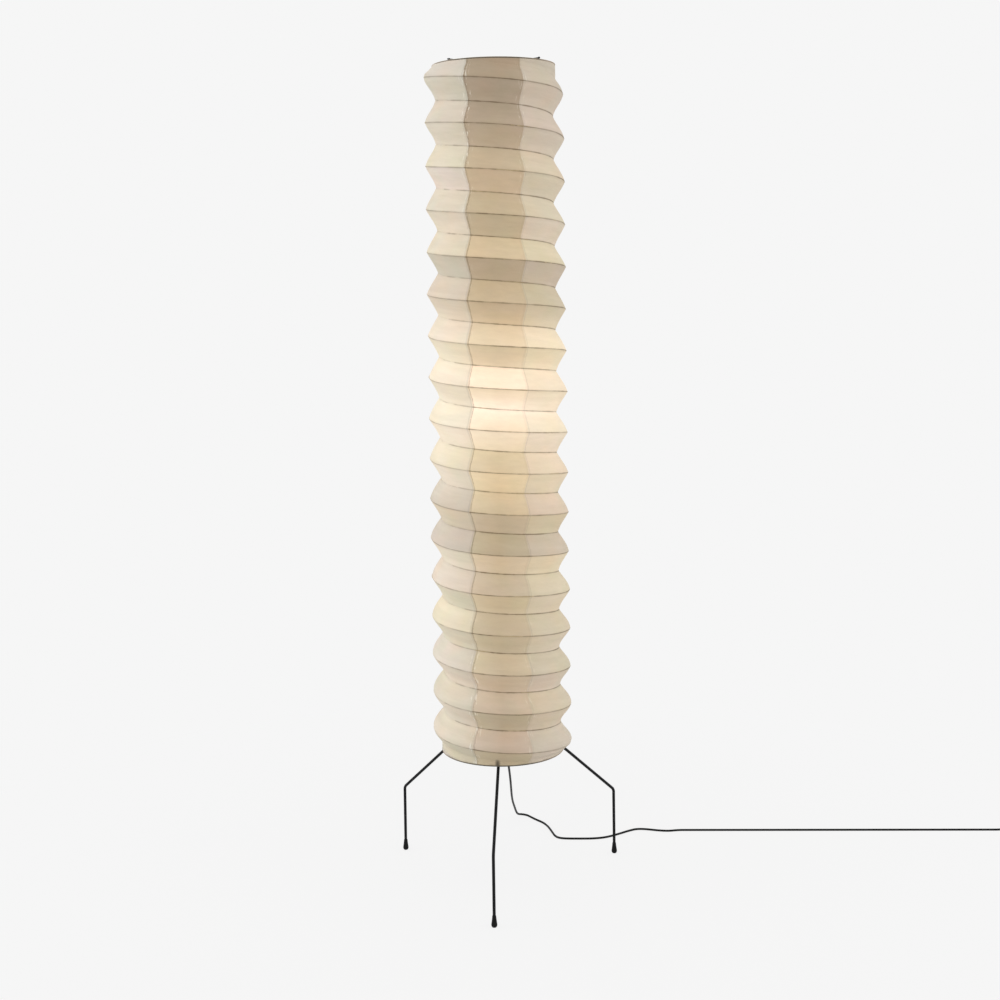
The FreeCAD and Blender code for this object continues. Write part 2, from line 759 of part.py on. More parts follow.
def top_cross():
    middle = S.boss_height / 2
    edge = S.boss_radius
    corners = tube_corners(S.stud_radius + 0.1, edge, 0.0, S.boss_height)
    disc = turned("boss_turned", corners)
    first = float(S.arm_azimuth)
    start = float(S.stud_radius) + 3.0
    tools, reach = [], S.rim_radius + S.arm_overhang - start
    for k, corner in enumerate(ARMS):
        outward = azimuth(first + 90 * k)
        for name in (f"arm_bore_{corner}", f"arm_{corner}"):
            arm = bar(name, S.arm_radius, reach)
            moved(arm, outward.x * start, outward.y * start, middle)
            arm.Placement.Rotation = Rotation(UP, outward)
            if name.startswith("arm_bore"):
                tools.append(arm)
                continue
            arm.setExpression("Placement.Base.z", (middle + boss_bottom()).text)
            arm.setExpression("Placement.Base.y", (as_dim(outward.y * start) + S.axis_y).text)
            arm.Label = f"cross_arm_{corner}"
            PARTS.append(arm)
    placed(cut("cross_boss_bored", disc, *tools), "cross_boss", z=boss_bottom())
    nut = turned(
        "nut_turned",
        [
            (S.stud_radius + S.nut_fit, 0.0),
            (S.nut_radius, 0.0),
            (S.nut_radius, S.nut_height - 1.5),
            (S.nut_radius - 2.0, S.nut_height),
            (S.stud_radius + S.nut_fit, S.nut_height),
        ],
    )
    placed(nut, "top_nut", z=boss_bottom() + S.boss_height)


# ---------------------------------------------------------------- lampholder and bulb


def bracket():
    """Collar on the pole with its clamp screw, and the flat bar that carries the lampholder."""
    middle = S.collar_height / 2
    low = S.bracket_z + S.bracket_thick / 2 - middle
    collar = turned(
        "collar_turned",
        tube_corners(S.pole_radius + S.pole_fit, S.collar_radius, 0.0, S.collar_height),
    )
    hole = bar("clamp_hole", S.clamp_radius, S.collar_radius)
    moved(hole, 0.0, S.pole_radius, middle)
    hole.Placement.Rotation = Rotation(UP, Vector(0, 1, 0))
    placed(cut("bracket_collar_tapped", collar, hole), "bracket_collar", z=low)
    shank = bar("clamp_shank", S.clamp_radius, S.collar_radius - S.pole_radius)
    head = bar("clamp_knob", S.clamp_head, S.clamp_head_length)
    moved(head, z=S.collar_radius - S.pole_radius)
    screw = placed(
        fused("clamp_screw_joined", shank, head),
        "clamp_screw",
        y=S.pole_radius + S.pole_fit,
        z=low + middle,
    )
    screw.Placement.Rotation = Rotation(UP, Vector(0, 1, 0))
    reach = S.bulb_offset
    bar_body = DOC.addObject("PartDesign::Body", "bracket_flat")
    flat = sketch_on(bar_body, "bracket_outline", "XY_Plane")
    half = S.bracket_width / 2
    near = -S.pole_radius
    outline(flat, [(-half, -reach), (half, -reach), (half, near), (-half, near)])
    pad = bar_body.newObject("PartDesign::Pad", "bracket_pad")
    pad.Profile = flat
    bind(pad, Length=S.bracket_thick)
    bar_body.Tip = pad
    eye = moved(bar("bracket_eye", half, S.bracket_thick), y=-reach)
    eye_hole = moved(
        bar("bracket_eye_hole", S.nipple_radius + S.nipple_fit, S.bracket_thick), y=-reach
    )
    round_collar = moved(bar("bracket_cope", S.collar_radius, S.bracket_thick))
    whole = fused("bracket_bar_joined", bar_body, eye)
    placed(cut("bracket_bar_cut", whole, eye_hole, round_collar), "bracket_bar", z=S.bracket_z)


def at_bulb(feature, label, z):
    return placed(feature, label, y=-S.bulb_offset, z=z)


def hexagon(name, across, height, bore):
    """A hexagon nut with a plain bore."""
    prism = bind(
        DOC.addObject("Part::Prism", name), Circumradius=across / 2 / math.cos(math.pi / 6)
    )
    bind(prism, Height=height)
    return cut(f"{name}_bored", prism, bar(f"{name}_bore", bore, height))


def lampholder():
    """The upright lampholder over the bracket's eye; returns the height of the bulb's tip."""
    seat = S.bracket_z + S.bracket_thick
    bore = S.nipple_radius + S.nipple_fit
    nipple = turned(
        "nipple_turned", tube_corners(S.cord_radius + S.cord_fit, S.nipple_radius, 0.0, S.nipple_length)
    )
    at_bulb(nipple, "holder_nipple", S.bracket_z - S.nipple_below)
    lower = hexagon("nipple_nut_low", S.nut_across, S.nut_thick, bore)
    upper = hexagon("nipple_nut_high", S.nut_across, S.nut_thick, bore)
    moved(upper, z=S.nut_thick + S.bracket_thick + S.cap_base)
    at_bulb(grouped("nipple_nuts_pair", lower, upper), "nipple_nuts", S.bracket_z - S.nut_thick)
    wide, wall, base = S.holder_radius, S.holder_wall, S.cap_base
    cap = turned(
        "cap_turned",
        [
            (bore, 0.0),
            (wide - 7.0, 0.0),
            (wide - 1.5, base * 2),
            (wide, S.cap_height),
            (wide - wall, S.cap_height),
            (wide - wall - 1.5, base * 2.5),
            (wide - wall - 6.0, base),
            (bore, base),
        ],
    )
    at_bulb(cap, "holder_cap", seat)
    mouth = seat + S.cap_height
    barrel = turned("barrel_turned", tube_corners(wide - wall, wide, 0.0, S.holder_height))
    at_bulb(barrel, "holder_barrel", mouth)
    insert = turned(
        "insert_turned",
        tube_corners(S.insert_bore, wide - wall - S.nipple_fit, 0.0, S.insert_height),
    )
    at_bulb(insert, "holder_insert", mouth)
    floor = mouth + S.insert_height
    shell = turned(
        "shell_turned",
        tube_corners(S.thread_bore, S.thread_bore + S.thread_wall, 0.0, S.thread_length),
    )
    at_bulb(shell, "screw_shell", floor)
    contact = bar("contact_disc", S.contact_radius, S.contact_height)
    at_bulb(contact, "centre_contact", floor)
    return floor + S.contact_height + S.contact_gap


def revolved(*edges):
    """A solid turned about Z from a closed outline in the XZ plane."""
    face = Part.Face(Part.Wire([e.toShape() for e in edges]))
    return face.revolve(Vector(0, 0, 0), UP, 360)


def xz(x, z):
    return Vector(x, 0, z)


def bulb(tip):
    """A pear-shaped bulb: tip contact, insulator, screw base, glass, stem and filament."""
    neck_z = 6.0 + float(S.bulb_base_length)
    button = turned("tip_turned", [(0.0, 0.0), (3.2, 0.0), (4.7, 1.6), (4.7, 2.2), (0.0, 2.2)])
    at_bulb(button, "bulb_tip", tip)
    insulator = turned("insulator_turned", [(0.0, 2.2), (4.9, 2.2), (12.2, 6.0), (0.0, 6.0)])
    at_bulb(insulator, "bulb_insulator", tip)
    base_radius = S.bulb_base_radius
    base = turned(
        "base_turned", tube_corners(base_radius - 0.4, base_radius, 6.0, S.bulb_base_length + 6.0)
    )
    at_bulb(base, "bulb_base", tip)

    def wall(inset):
        """Neck, shoulder and crown, each an arc, from the neck's mouth up to the axis."""
        wide, high = float(S.bulb_radius), float(S.bulb_height)
        neck = float(S.bulb_base_radius) - 0.2 - inset
        crown = wide - inset
        middle = high - wide
        shoulder = xz(neck + 0.42 * (crown - neck), neck_z + 0.5 * (middle - neck_z))
        up = Part.Arc(xz(neck, neck_z), shoulder, xz(crown, middle))
        lean = math.sqrt(0.5) * crown
        over = Part.Arc(xz(crown, middle), xz(lean, middle + lean), xz(0, middle + crown))
        return up, over

    (outer_up, outer_over), (inner_up, inner_over) = wall(0.0), wall(float(S.glass_wall))
    edges = [
        outer_up,
        outer_over,
        Part.LineSegment(outer_over.EndPoint, inner_over.EndPoint),
        inner_over,
        inner_up,
        Part.LineSegment(inner_up.StartPoint, outer_up.StartPoint),
    ]
    fixed("bulb_glass", revolved(*edges), y=-S.bulb_offset, z=tip)
    stem = turned(
        "stem_turned",
        [(0.0, 6.0), (8.0, 6.0), (8.0, 24.0), (3.0, 40.0), (1.2, 56.0), (1.2, 94.0), (0.0, 94.0)],
    )
    at_bulb(stem, "bulb_stem", tip)
    rods = []
    for k in range(4):
        side = azimuth(90 * k)
        rods.append(moved(bar(f"filament_rod_{k}", 0.9, 30.0), side.x * 9, side.y * 9, 61.5))
        for height in (62.5, 90.5):
            stay = bar(f"filament_stay_{k}_{height:.0f}", 0.5, 7.8)
            moved(stay, side.x * 1.2, side.y * 1.2, height)
            stay.Placement.Rotation = Rotation(UP, side)
            rods.append(stay)
    at_bulb(fused("filament_joined", *rods), "bulb_filament", tip)


# ---------------------------------------------------------------- lead


def lead_offset():
    """From the axis to the lead's middle beside the pole."""
    return S.pole_radius + S.cord_radius + S.pole_gap


def lead_spot(height):
    """The lead's middle beside the pole."""
    return azimuth(float(S.cord_azimuth)) * float(lead_offset()) + UP * height


def floor_line():
    """Height of the lead's middle where it lies on the floor."""
    return S.cord_radius + S.floor_gap


def inner_lead():
    """From the lampholder down through the nipple, across to the pole and out of the hub."""
    front = -float(S.bulb_offset)
    top = float(S.bracket_z) + float(S.bracket_thick) + float(S.cap_height)
    points = [
        Vector(0, front, top),
        Vector(0, front, float(S.bracket_z) - 30),
        lead_spot(float(S.bracket_z) - 95),
        lead_spot(float(S.hub_bottom) - float(S.gland_length)),
    ]
    edges, radii = rounded(points, radii=(30.0, 30.0))
    solid, length = swept(edges, float(S.cord_radius))
    print(f"inner lead: {length:.0f} mm, bends {radii}")
    fixed("lead_inside", solid)


def gland():
    """Tapered rubber strain relief under the hub."""
    bore = S.cord_radius + 0.05
    side = azimuth(float(S.cord_azimuth))
    relief = turned(
        "gland_turned",
        [
            (bore, 0.0),
            (S.gland_tip, 0.0),
            (S.gland_radius, S.gland_length - 5.0),
            (S.gland_radius, S.gland_length),
            (bore, S.gland_length),
        ],
    )
    placed(
        relief,
        "lead_gland",
        x=lead_offset() * side.x,
        y=lead_offset() * side.y,
        z=S.hub_bottom - S.gland_length,
    )


def clips():
    """Saddle clips that hold the lead to the pole: a band round both."""
    wall, wide = float(S.clip_wall), float(S.clip_width)
    lead = lead_spot(0)
    bands = []
    for height in CLIP_HEIGHTS:
        lift = UP * height
        big = float(S.pole_radius) + float(S.pole_fit)
        small = float(S.cord_radius) + 0.05
        outside = Part.makeCylinder(big + wall, wide, lift).fuse(
            Part.makeCylinder(small + wall, wide, lead + lift)
        )
        holes = Part.makeCylinder(big, wide, lift).fuse(
            Part.makeCylinder(small, wide, lead + lift)
        )
        bands.append(outside.cut(holes).removeSplitter().Solids[0])
    fixed("lead_clips", Part.makeCompound(bands))


def floor_route():
    """The lead outside the lamp, from the gland's tip to the switch: chosen by hand along the
    photographed line. It hangs back and down to the floor, folds round forwards behind the axis,
    bends off to the right past the right boot and then lies straight."""
    low = float(floor_line())
    start = lead_spot(float(S.hub_bottom) - float(S.gland_length))
    hanging = (
        (7.6, 4, 302),
        (10, 27, 260),
        (10, 66, 222),
        (8, 116, 185),
        (5, 168, 150),
        (2, 222, 115),
        (0, 278, 81),
        (1, 334, 46),
        (2, 372, 21),
        (5, 391, 9),
        (14, 405, 4),
    )
    lying = (
        (28, 403),
        (40, 387),
        (55, 368),
        (73, 349),
        (86, 325),
        (95, 299),
        (103, 272),
        (110, 250),
        (121, 238),
        (140, 235),
        (172, 236),
        (208, 238),
        (240, 248),
        (270, 272),
        (297, 297),
        (318, 312),
        (343, 311),
        (371, 303),
        (400, 300),
        (424, 308),
    )
    points = [start, start - UP * 36]
    points += [Vector(*p) for p in hanging] + [Vector(x, y, low) for x, y in lying]
    end, way = switch_end(-1)
    points += [end - way * 52 + UP * (low - end.z), end - way * 26, end]
    return points


def switch_end(side):
    """Where the lead meets one end of the switch (-1 or 1), and the switch's direction."""
    a = math.radians(float(S.switch_turn))
    way = Vector(math.cos(a), math.sin(a), 0)
    middle = Vector(float(S.switch_x), float(S.switch_y), float(S.switch_half))
    return middle + way * (side * float(S.switch_length) / 2), way


def lead_tube(name, points):
    edges, radii = rounded(points)
    solid, length = swept(edges, float(S.cord_radius))
    print(f"{name}: {length:.0f} mm, arcs {' '.join(f'{r:.0f}' for r in radii)}")
    fixed(name, solid)
    return length


def coil_step():
    """From turn to turn and from layer to layer."""
    return S.cord_radius * 2 + S.coil_gap


def coil_point(t):
    """Middle of the coiled lead after t turns: clockwise from the back, inwards on the floor,
    up a layer in the middle half turn and outwards again on top."""
    turns, step = float(S.coil_turns), float(coil_step())
    radius = float(S.coil_radius) - step * min(t, turns - t)
    climb = min(1.0, max(0.0, 2 * (t - turns / 2) + 0.5))
    lift = step * (1 - math.cos(math.pi * climb)) / 2
    a = math.pi / 2 - 2 * math.pi * t
    low = float(floor_line()) + float(S.coil_rise)
    middle = Vector(float(S.coil_x), float(S.coil_y), low + lift)
    return middle + Vector(math.cos(a), math.sin(a), 0) * radius


def coiled_lead():
    """The lead from the switch into the coil, the coil, and its tail to the plug."""
    turns = float(S.coil_turns)

    def tangent(t):
        if t <= 0:
            return Vector(1, 0, 0)
        if t >= turns:
            return Vector(0, -1, 0)
        return slope_of(coil_point, t)

    stops = [turns * k / (4 * COIL_EIGHTHS) for k in range(4 * COIL_EIGHTHS + 1)]
    first, last = coil_point(0), coil_point(turns)
    straight = 2 * float(S.cord_radius)
    before, after = first - Vector(straight, 0, 0), last - Vector(0, straight, 0)
    edges = [Part.LineSegment(before, first).toShape()]
    edges += biarcs(coil_point, tangent, stops)
    edges.append(Part.LineSegment(last, after).toShape())
    solid, length = swept(edges, float(S.cord_radius))
    fine = [turns * k / 600 for k in range(601)]
    gap = least_gap(coil_point, fine, float(S.cord_radius), round(600 / turns))
    print(f"lead_coil: {length:.0f} mm in {turns} turns, least gap {gap:.2f} mm")
    if gap < 0.4:
        raise RuntimeError("the coil touches itself")
    fixed("lead_coil", solid)
    out, way = switch_end(1)
    approach = [
        out,
        out + way * 18,
        before - Vector(17, 0, 0),
        before,
    ]
    into = lead_tube("lead_to_coil", approach)
    back = plug_back()
    tail = [
        after,
        after - Vector(0, 12, 0),
        Vector(after.x - 1, (after.y + back.y) / 2, back.z - 1.2),
        back + Vector(0, 12, 0),
        back,
    ]
    return length + into + lead_tube("lead_tail", tail)


# ---------------------------------------------------------------- switch and plug


def rounded_block(name, length, width, height, corner):
    """A block with round upright corners, standing on z = 0."""
    solid = block(f"{name}_block", length, width, height)
    DOC.recompute()
    result = DOC.addObject("Part::Fillet", name)
    result.Base = solid
    upright = [
        (k + 1, float(corner), float(corner))
        for k, e in enumerate(solid.Shape.Edges)
        if abs(e.tangentAt(e.FirstParameter).z) > 0.99
    ]
    result.Edges = upright
    return result


def at_switch(feature, label, z=0.0):
    return placed(feature, label, x=S.switch_x, y=S.switch_y, z=z, turn=S.switch_turn)


def foot_switch():
    wall, half = S.switch_wall, S.switch_half
    long, wide, corner = S.switch_length, S.switch_width, S.switch_corner

    def half_shell(name, low):
        """One half of the housing and its hollow."""
        body = rounded_block(f"{name}_outside", long, wide, half, corner)
        hollow = rounded_block(
            f"{name}_hollow", long - wall * 6, wide - wall * 2, half - wall, corner - wall
        )
        moved(hollow, z=wall if low else 0.0)
        return body, hollow

    at_switch(cut("base_hollowed", *half_shell("base_half", True)), "switch_base")
    cover, hollow = half_shell("cover_half", False)
    mouth = bar("button_mouth", S.button_radius + S.button_gap, half)
    at_switch(cut("cover_hollowed", cover, hollow, mouth), "switch_cover", z=half)
    flange_top = half - wall - S.flange_gap
    bottom = flange_top - S.flange_thick
    button = turned(
        "button_turned",
        [
            (0.0, bottom),
            (S.button_flange, bottom),
            (S.button_flange, flange_top),
            (S.button_radius, flange_top),
            (S.button_radius, half + S.button_proud - 1.0),
            (S.button_radius - 1.0, half + S.button_proud),
            (0.0, half + S.button_proud),
        ],
    )
    at_switch(button, "switch_button", z=half)
    room = half * 2 - wall * 2 - S.flange_gap * 2 - S.flange_thick - S.button_travel
    works = grouped("works_block", block("works_box", S.works_length, S.works_width, room))
    at_switch(works, "switch_works", z=wall)


def coil_tie():
    """A flat band round the coil's bundle."""
    inward = coil_step() * S.coil_turns / 2
    radius, gap, thick = S.cord_radius, S.tie_gap, S.tie_thick
    across = inward + radius * 2 + gap * 2
    high = coil_step() + radius * 2 + gap * 2
    outside = block("tie_outside", across + thick * 2, S.tie_wide, high + thick * 2)
    inside = block("tie_inside", across, S.tie_wide * 2, high)
    moved_up = thick
    inside.Placement.Base.z = float(moved_up)
    inside.setExpression("Placement.Base.z", moved_up.text)
    middle = float(S.coil_radius) - float(inward) / 2
    side = azimuth(float(S.tie_azimuth))
    bottom = floor_line() + S.coil_rise - radius - gap - thick
    placed(
        cut("tie_hollow", outside, inside),
        "coil_tie",
        x=S.coil_x + side.x * middle,
        y=S.coil_y + side.y * middle,
        z=bottom,
        turn=float(S.tie_azimuth) - 90,
    )


def plug_back():
    """Where the lead meets the plug's relief."""
    end = coil_point(float(S.coil_turns))
    return Vector(end.x, float(S.plug_y) + float(S.plug_relief), float(S.plug_thick) / 2)


def plug():
    """Flat two-pin plug, lying on the floor with its pins towards the front."""
    back = plug_back()
    long, wide, thick = (float(v) for v in (S.plug_length, S.plug_width, S.plug_thick))
    front = float(S.plug_y) - long
    nose = 0.62 * wide
    outline_points = [
        Vector(-nose / 2, float(S.plug_y), 0),
        Vector(nose / 2, float(S.plug_y), 0),
        Vector(wide / 2, float(S.plug_y) - long * 0.55, 0),
        Vector(wide / 2, front, 0),
        Vector(-wide / 2, front, 0),
        Vector(-wide / 2, float(S.plug_y) - long * 0.55, 0),
    ]
    face = Part.Face(Part.makePolygon(outline_points + outline_points[:1]))
    body = face.extrude(UP * thick)
    sides = [e for e in body.Edges if e.BoundBox.ZLength > thick - 0.1]
    body = body.makeFillet(3.0, sides)
    rims = [
        e for e in body.Edges if e.BoundBox.ZLength < 0.01 and e.BoundBox.YMin < front + long - 1
    ]
    body = body.makeFillet(2.0, [e for e in rims if e.BoundBox.YMax > front + 1])
    relief = Part.makeCone(
        thick / 2 - 1.5,
        float(S.cord_radius) + 1.0,
        float(S.plug_relief) + 1.0,
        Vector(0, float(S.plug_y) - 1.0, thick / 2),
        Vector(0, 1, 0),
    )
    body = body.fuse(relief).removeSplitter()
    spots = [Vector(s * float(S.pin_spacing) / 2, front, thick / 2) for s in (-1, 1)]
    pins = [
        Part.makeCylinder(float(S.pin_radius), float(S.pin_length), p, Vector(0, -1, 0))
        for p in spots
    ]
    fixed("plug_body", body.Solids[0], x=back.x)
    fixed("plug_pins", Part.makeCompound(pins), x=back.x)


# ---------------------------------------------------------------- build and write


def build():
    paper_shade()
    bamboo_ribs()
    hoops()
    tripod()
    leg_hub()
    set_screw()
    pole()
    top_cross()
    bracket()
    bulb(lampholder())
    inner_lead()
    gland()
    clips()
    outside = lead_tube("lead_to_switch", floor_route()) + coiled_lead()
    foot_switch()
    coil_tie()
    plug()
    print(f"lead outside the lamp: {outside + float(S.switch_length):.0f} mm")


def write():
    """Check every object and write each sub-part to its own file."""
    DOC.recompute()
    for thing in DOC.Objects:
        if "Invalid" in thing.State or "Error" in thing.State:
            raise RuntimeError(f"{thing.Label} failed: {thing.State}")
    os.makedirs("parts", exist_ok=True)
    for feature in PARTS:
        shape = feature.Shape
        if shape.isNull() or not shape.isValid() or not shape.Solids:
            raise RuntimeError(f"{feature.Label} has no sound solid")
        shape.exportStep(os.path.join("parts", f"{feature.Label}.step"))
    print(f"{len(PARTS)} sub-parts written")


build()
write()
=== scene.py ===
"""Paper lantern floor lamp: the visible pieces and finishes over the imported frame.

Metres, +Z up, floor at z = 0, front towards -Y. Azimuths are in degrees from the front,
counter-clockwise seen from above, round the lamp's own axis.
"""

import math

import bmesh
import bpy
import numpy as np
from mathutils import Matrix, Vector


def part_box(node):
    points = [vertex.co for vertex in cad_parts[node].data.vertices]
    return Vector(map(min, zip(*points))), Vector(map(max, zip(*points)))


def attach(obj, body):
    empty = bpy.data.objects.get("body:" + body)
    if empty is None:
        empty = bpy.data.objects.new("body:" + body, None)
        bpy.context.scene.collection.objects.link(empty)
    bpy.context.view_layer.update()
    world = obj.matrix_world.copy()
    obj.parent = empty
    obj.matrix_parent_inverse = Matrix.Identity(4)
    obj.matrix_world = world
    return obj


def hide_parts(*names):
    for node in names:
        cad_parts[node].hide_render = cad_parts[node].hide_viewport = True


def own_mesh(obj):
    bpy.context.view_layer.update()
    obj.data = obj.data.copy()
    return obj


bl_info = {
    "name": "Paper Lantern",
    "version": (1, 0, 0),
    "blender": (4, 5, 0),
    "location": "View3D > Sidebar > Lantern",
    "description": "Pleated paper floor lamp on a rod tripod, with its lead and a plain stage",
    "category": "Add Mesh",
}

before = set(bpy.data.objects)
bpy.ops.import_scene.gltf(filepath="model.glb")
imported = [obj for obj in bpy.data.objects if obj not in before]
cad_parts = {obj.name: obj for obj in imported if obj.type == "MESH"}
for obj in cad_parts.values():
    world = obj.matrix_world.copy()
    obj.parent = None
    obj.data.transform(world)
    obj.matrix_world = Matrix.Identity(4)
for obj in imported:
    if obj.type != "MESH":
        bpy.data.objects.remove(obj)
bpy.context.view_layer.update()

# ---------------------------------------------------------------- fixed sizes

TURN = 2 * math.pi
UP = np.array([0.0, 0.0, 1.0])
# Where the lamp's own axis meets the floor
AXIS = np.array([0.0, 0.072, 0.0])

# Meshes: corners nearer than this are one, and folds sharper than so many degrees keep an edge
DOUBLED = 1e-6
TUBE_SHARP = 50
PAPER_SHARP = 26

# The paper: its gores, the number of the seam at the front gore's left, metres of paper across a
# gore beside a seam and from fold to fold, and the mesh's columns and rows
GORES = 8
FRONT_SEAM = 3
GORE_METRES = 0.118
FOLD_METRES = 0.056
COLUMN = math.radians(3.2)
ROWS_PER_FOLD = 7
# Turns from the nearer edge at which the inward folds and all pleats begin, and over how many
# they grow to full depth
HOLLOWS_FROM = (0.3, 0.35)
PLEATS_FROM = (0.0, 0.2)
# How far the strip under each ridge hollows and the one over it swells: at the top, and more of it
# towards the bottom
HOLLOW_UNDER = (0.0010, 0.0014)
SWELL_OVER = (0.0006, 0.0042)
# Turns from a rib's end to the edge, at the lower end of the inward folds' rib, and the points on
# each of its turns
RIB_END = 1 / 8
INNER_RIB_END = 0.47
RIB_POINTS = 48

# The top cross: from the axis to each arm's cap, the first at the front right, the arms' height,
# and half the caps' width and height
ARM_REACH = (0.1472, 0.1468, 0.1470, 0.1430)
ARM_HEIGHT = 1.9317
CAP_RADIUS = 0.0027
CAP_RISE = 0.0024
ROD_ROUGHNESS = 0.42

# The lead: the middle of the foot switch from the lamp's axis, the way through it and half its
# length, and the coil's middle and its points to a turn
SWITCH = np.array([1.334, 0.3495, 0.0085])
ALONG = np.array([math.cos(math.radians(2.5)), math.sin(math.radians(2.5)), 0])
HALF_SWITCH = 0.034
COIL_MIDDLE = (1.430, 0.3125)
COIL_POINTS = 14

# ---------------------------------------------------------------- sizes and colours


def number(name, text, default, **more):
    """A setting that holds one number."""
    return bpy.props.FloatProperty(name=name, description=text, default=default, **more)


def length(name, text, default):
    """A size in metres."""
    return number(name, text, default, unit="LENGTH", precision=4)


def tint(name, text, default):
    """A colour of three shares, in linear light."""
    return bpy.props.FloatVectorProperty(
        name=name, description=text, default=default, subtype="COLOR", size=3, min=0.0, max=1.0
    )


def share(name, text, default, high=1.0):
    """A strength from 0 to high."""
    return number(name, text, default, min=0.0, max=high, subtype="FACTOR")


def angle(name, text, degrees):
    """An angle, given here in degrees and kept in radians."""
    return number(name, text, math.radians(degrees), subtype="ANGLE", unit="ROTATION")


class LanternShadeSizes(bpy.types.PropertyGroup):
    """Shape of the pleated paper and of the bamboo inside it."""

    top: length("Top edge", "Height of the paper's top edge", 1.930)
    bottom: length("Bottom edge", "Height of the paper's bottom edge", 0.310)
    ridge: length("Ridge radius", "Paper at an outward fold", 0.164)
    valley: length("Valley radius", "Paper at an inward fold", 0.138)
    rim: length("Rim radius", "Paper at its round ends", 0.145)
    wall: length("Paper", "Thickness of the pasted paper", 0.0005)
    turns: number("Turns", "Turns of each bamboo helix", 16.875, min=2.0)
    pitch_ratio: number("Pitch ratio", "Top pitch over bottom pitch", 1.178, min=1.0)
    start: angle("Helix start", "Azimuth where the ridge leaves the top edge", -169.3)
    seams: bpy.props.FloatVectorProperty(
        name="Seams", description="Azimuths of the seams, once round from the back to the back",
        default=tuple(map(math.radians, (-163, -130, -97, -20.3, 29.1, 98, 131, 164, 197))),
        size=9, unit="ROTATION",
    )
    lean: length("Lean", "Height that the rings lean by, up on the right", 0.0042)
    bamboo: length("Bamboo radius", "Half the width of a rib", 0.0007)
    hem: length("Hem radius", "Paper rolled round each hoop", 0.0021)


class LanternPaperLook(bpy.types.PropertyGroup):
    """Colours of the paper and of the light that comes through it."""

    base: tint("Paper", "Mulberry paper in plain light", (0.775, 0.70, 0.605))
    # The darker tone is partly a more brown sheet and partly painted shade, strongest on the front
    # gore
    shaded: tint("Darker sheets", "Gores from a browner sheet", (0.445, 0.35, 0.277))
    # The rib line is a painted shadow of the bamboo, partly its own brown seen through the paper
    rib: tint("Rib shadow", "Bamboo seen through the paper", (0.15, 0.105, 0.065))
    glow: tint("Glow", "Light through the paper far from the bulb", (1.0, 0.77, 0.34))
    hot: tint("Hot spot", "Light through the paper beside the bulb", (1.0, 0.82, 0.64))
    direct: share("Direct light", "The bulb's own light through the paper 0.1 m away", 0.448, 2.0)
    falloff: share("Falloff", "Power of the direct light's falloff along the paper", 0.616)
    haze: share("Haze", "Light that the paper tube has passed round beside the bulb", 0.40, 2.0)
    reach: length("Haze reach", "Distance over which the haze falls to a third", 0.573)


class LanternHardLook(bpy.types.PropertyGroup):
    """Colours of the metal, rubber, plastic and glass."""

    rod: tint("Rod", "Black paint on the rods", (0.004, 0.004, 0.0045))
    rubber: tint("Rubber", "Boots and strain relief", (0.004, 0.004, 0.004))
    steel: tint("Steel", "Turned steel", (0.50, 0.50, 0.51))
    brass: tint("Brass", "Screw shell and bulb base", (0.78, 0.58, 0.28))
    plastic: tint("Plastic", "Lampholder, switch and plug", (0.008, 0.008, 0.0085))
    ceramic: tint("Ceramic", "Insert and insulator", (0.84, 0.82, 0.77))
    lamp: tint("Lit glass", "Opal glass when lit", (1.0, 0.90, 0.74))


class LanternLeadSizes(bpy.types.PropertyGroup):
    """The flexible lead."""

    radius: length("Lead radius", "Half the lead's width", 0.00265)
    coil_radius: length("Coil", "Outer turn of the lead's middle", 0.040)
    coil_step: length("Step", "From turn to turn and layer to layer", 0.00595)
    coil_turns: number("Coil turns", "Turns in two layers", 5.25)


class LanternStage(bpy.types.PropertyGroup):
    """Camera, lamps and floor."""

    distance: length("Distance", "Camera from the lamp's axis", 3.618)
    eye: length("Eye height", "Camera above the floor", 1.418)
    azimuth: angle("Azimuth", "Camera round the lamp", 4.73)
    tilt: angle("Tilt", "Camera downwards", 2.25)
    roll: angle("Roll", "Camera clockwise", 0.82)
    lens: number("Lens", "Focal length", 55.03, unit="CAMERA")
    pale: tint("Backdrop", "Floor and backdrop as the camera sees them", (0.921, 0.921, 0.921))
    ambient: number("Ambient", "Even light from all round", 0.83, min=0.0)
    left: number("Left", "Power of the left window", 41.0, unit="POWER")
    right: number("Right", "Power of the right window", 35.0, unit="POWER")
    front: number("Front", "Power of the soft light in front", 14.0, unit="POWER")


def kit():
    """The shade's sizes."""
    return bpy.context.scene.lantern_shade


def hard():
    """The hard pieces' colours."""
    return bpy.context.scene.lantern_hard


# ---------------------------------------------------------------- surfaces


def toward(azimuth):
    """Unit vectors in plan for azimuths in radians: sine to the right, minus cosine forwards."""
    azimuth = np.asarray(azimuth, float)
    return np.stack([np.sin(azimuth), -np.cos(azimuth), np.zeros_like(azimuth)], -1)


def grid_faces(rows, columns, round_rows, round_columns):
    """Corner numbers of the four-sided faces of a grid, closed round either way if asked."""
    r = np.arange(rows if round_rows else rows - 1)
    c = np.arange(columns if round_columns else columns - 1)
    r, c = np.meshgrid(r, c, indexing="ij")
    r2, c2 = (r + 1) % rows, (c + 1) % columns
    return np.stack([r * columns + c, r * columns + c2, r2 * columns + c2, r2 * columns + c], -1)


def mesh_piece(name, spots, faces):
    """A smooth object from corner places and faces; its object sits at the origin."""
    mesh = bpy.data.meshes.new(name)
    faces = np.asarray(faces)
    mesh.from_pydata(spots.reshape(-1, 3).tolist(), [], faces.reshape(-1, faces.shape[-1]).tolist())
    mesh.polygons.foreach_set("use_smooth", np.full(len(mesh.polygons), True))
    mesh.update()
    piece = bpy.data.objects.new(name, mesh)
    bpy.context.collection.objects.link(piece)
    return piece


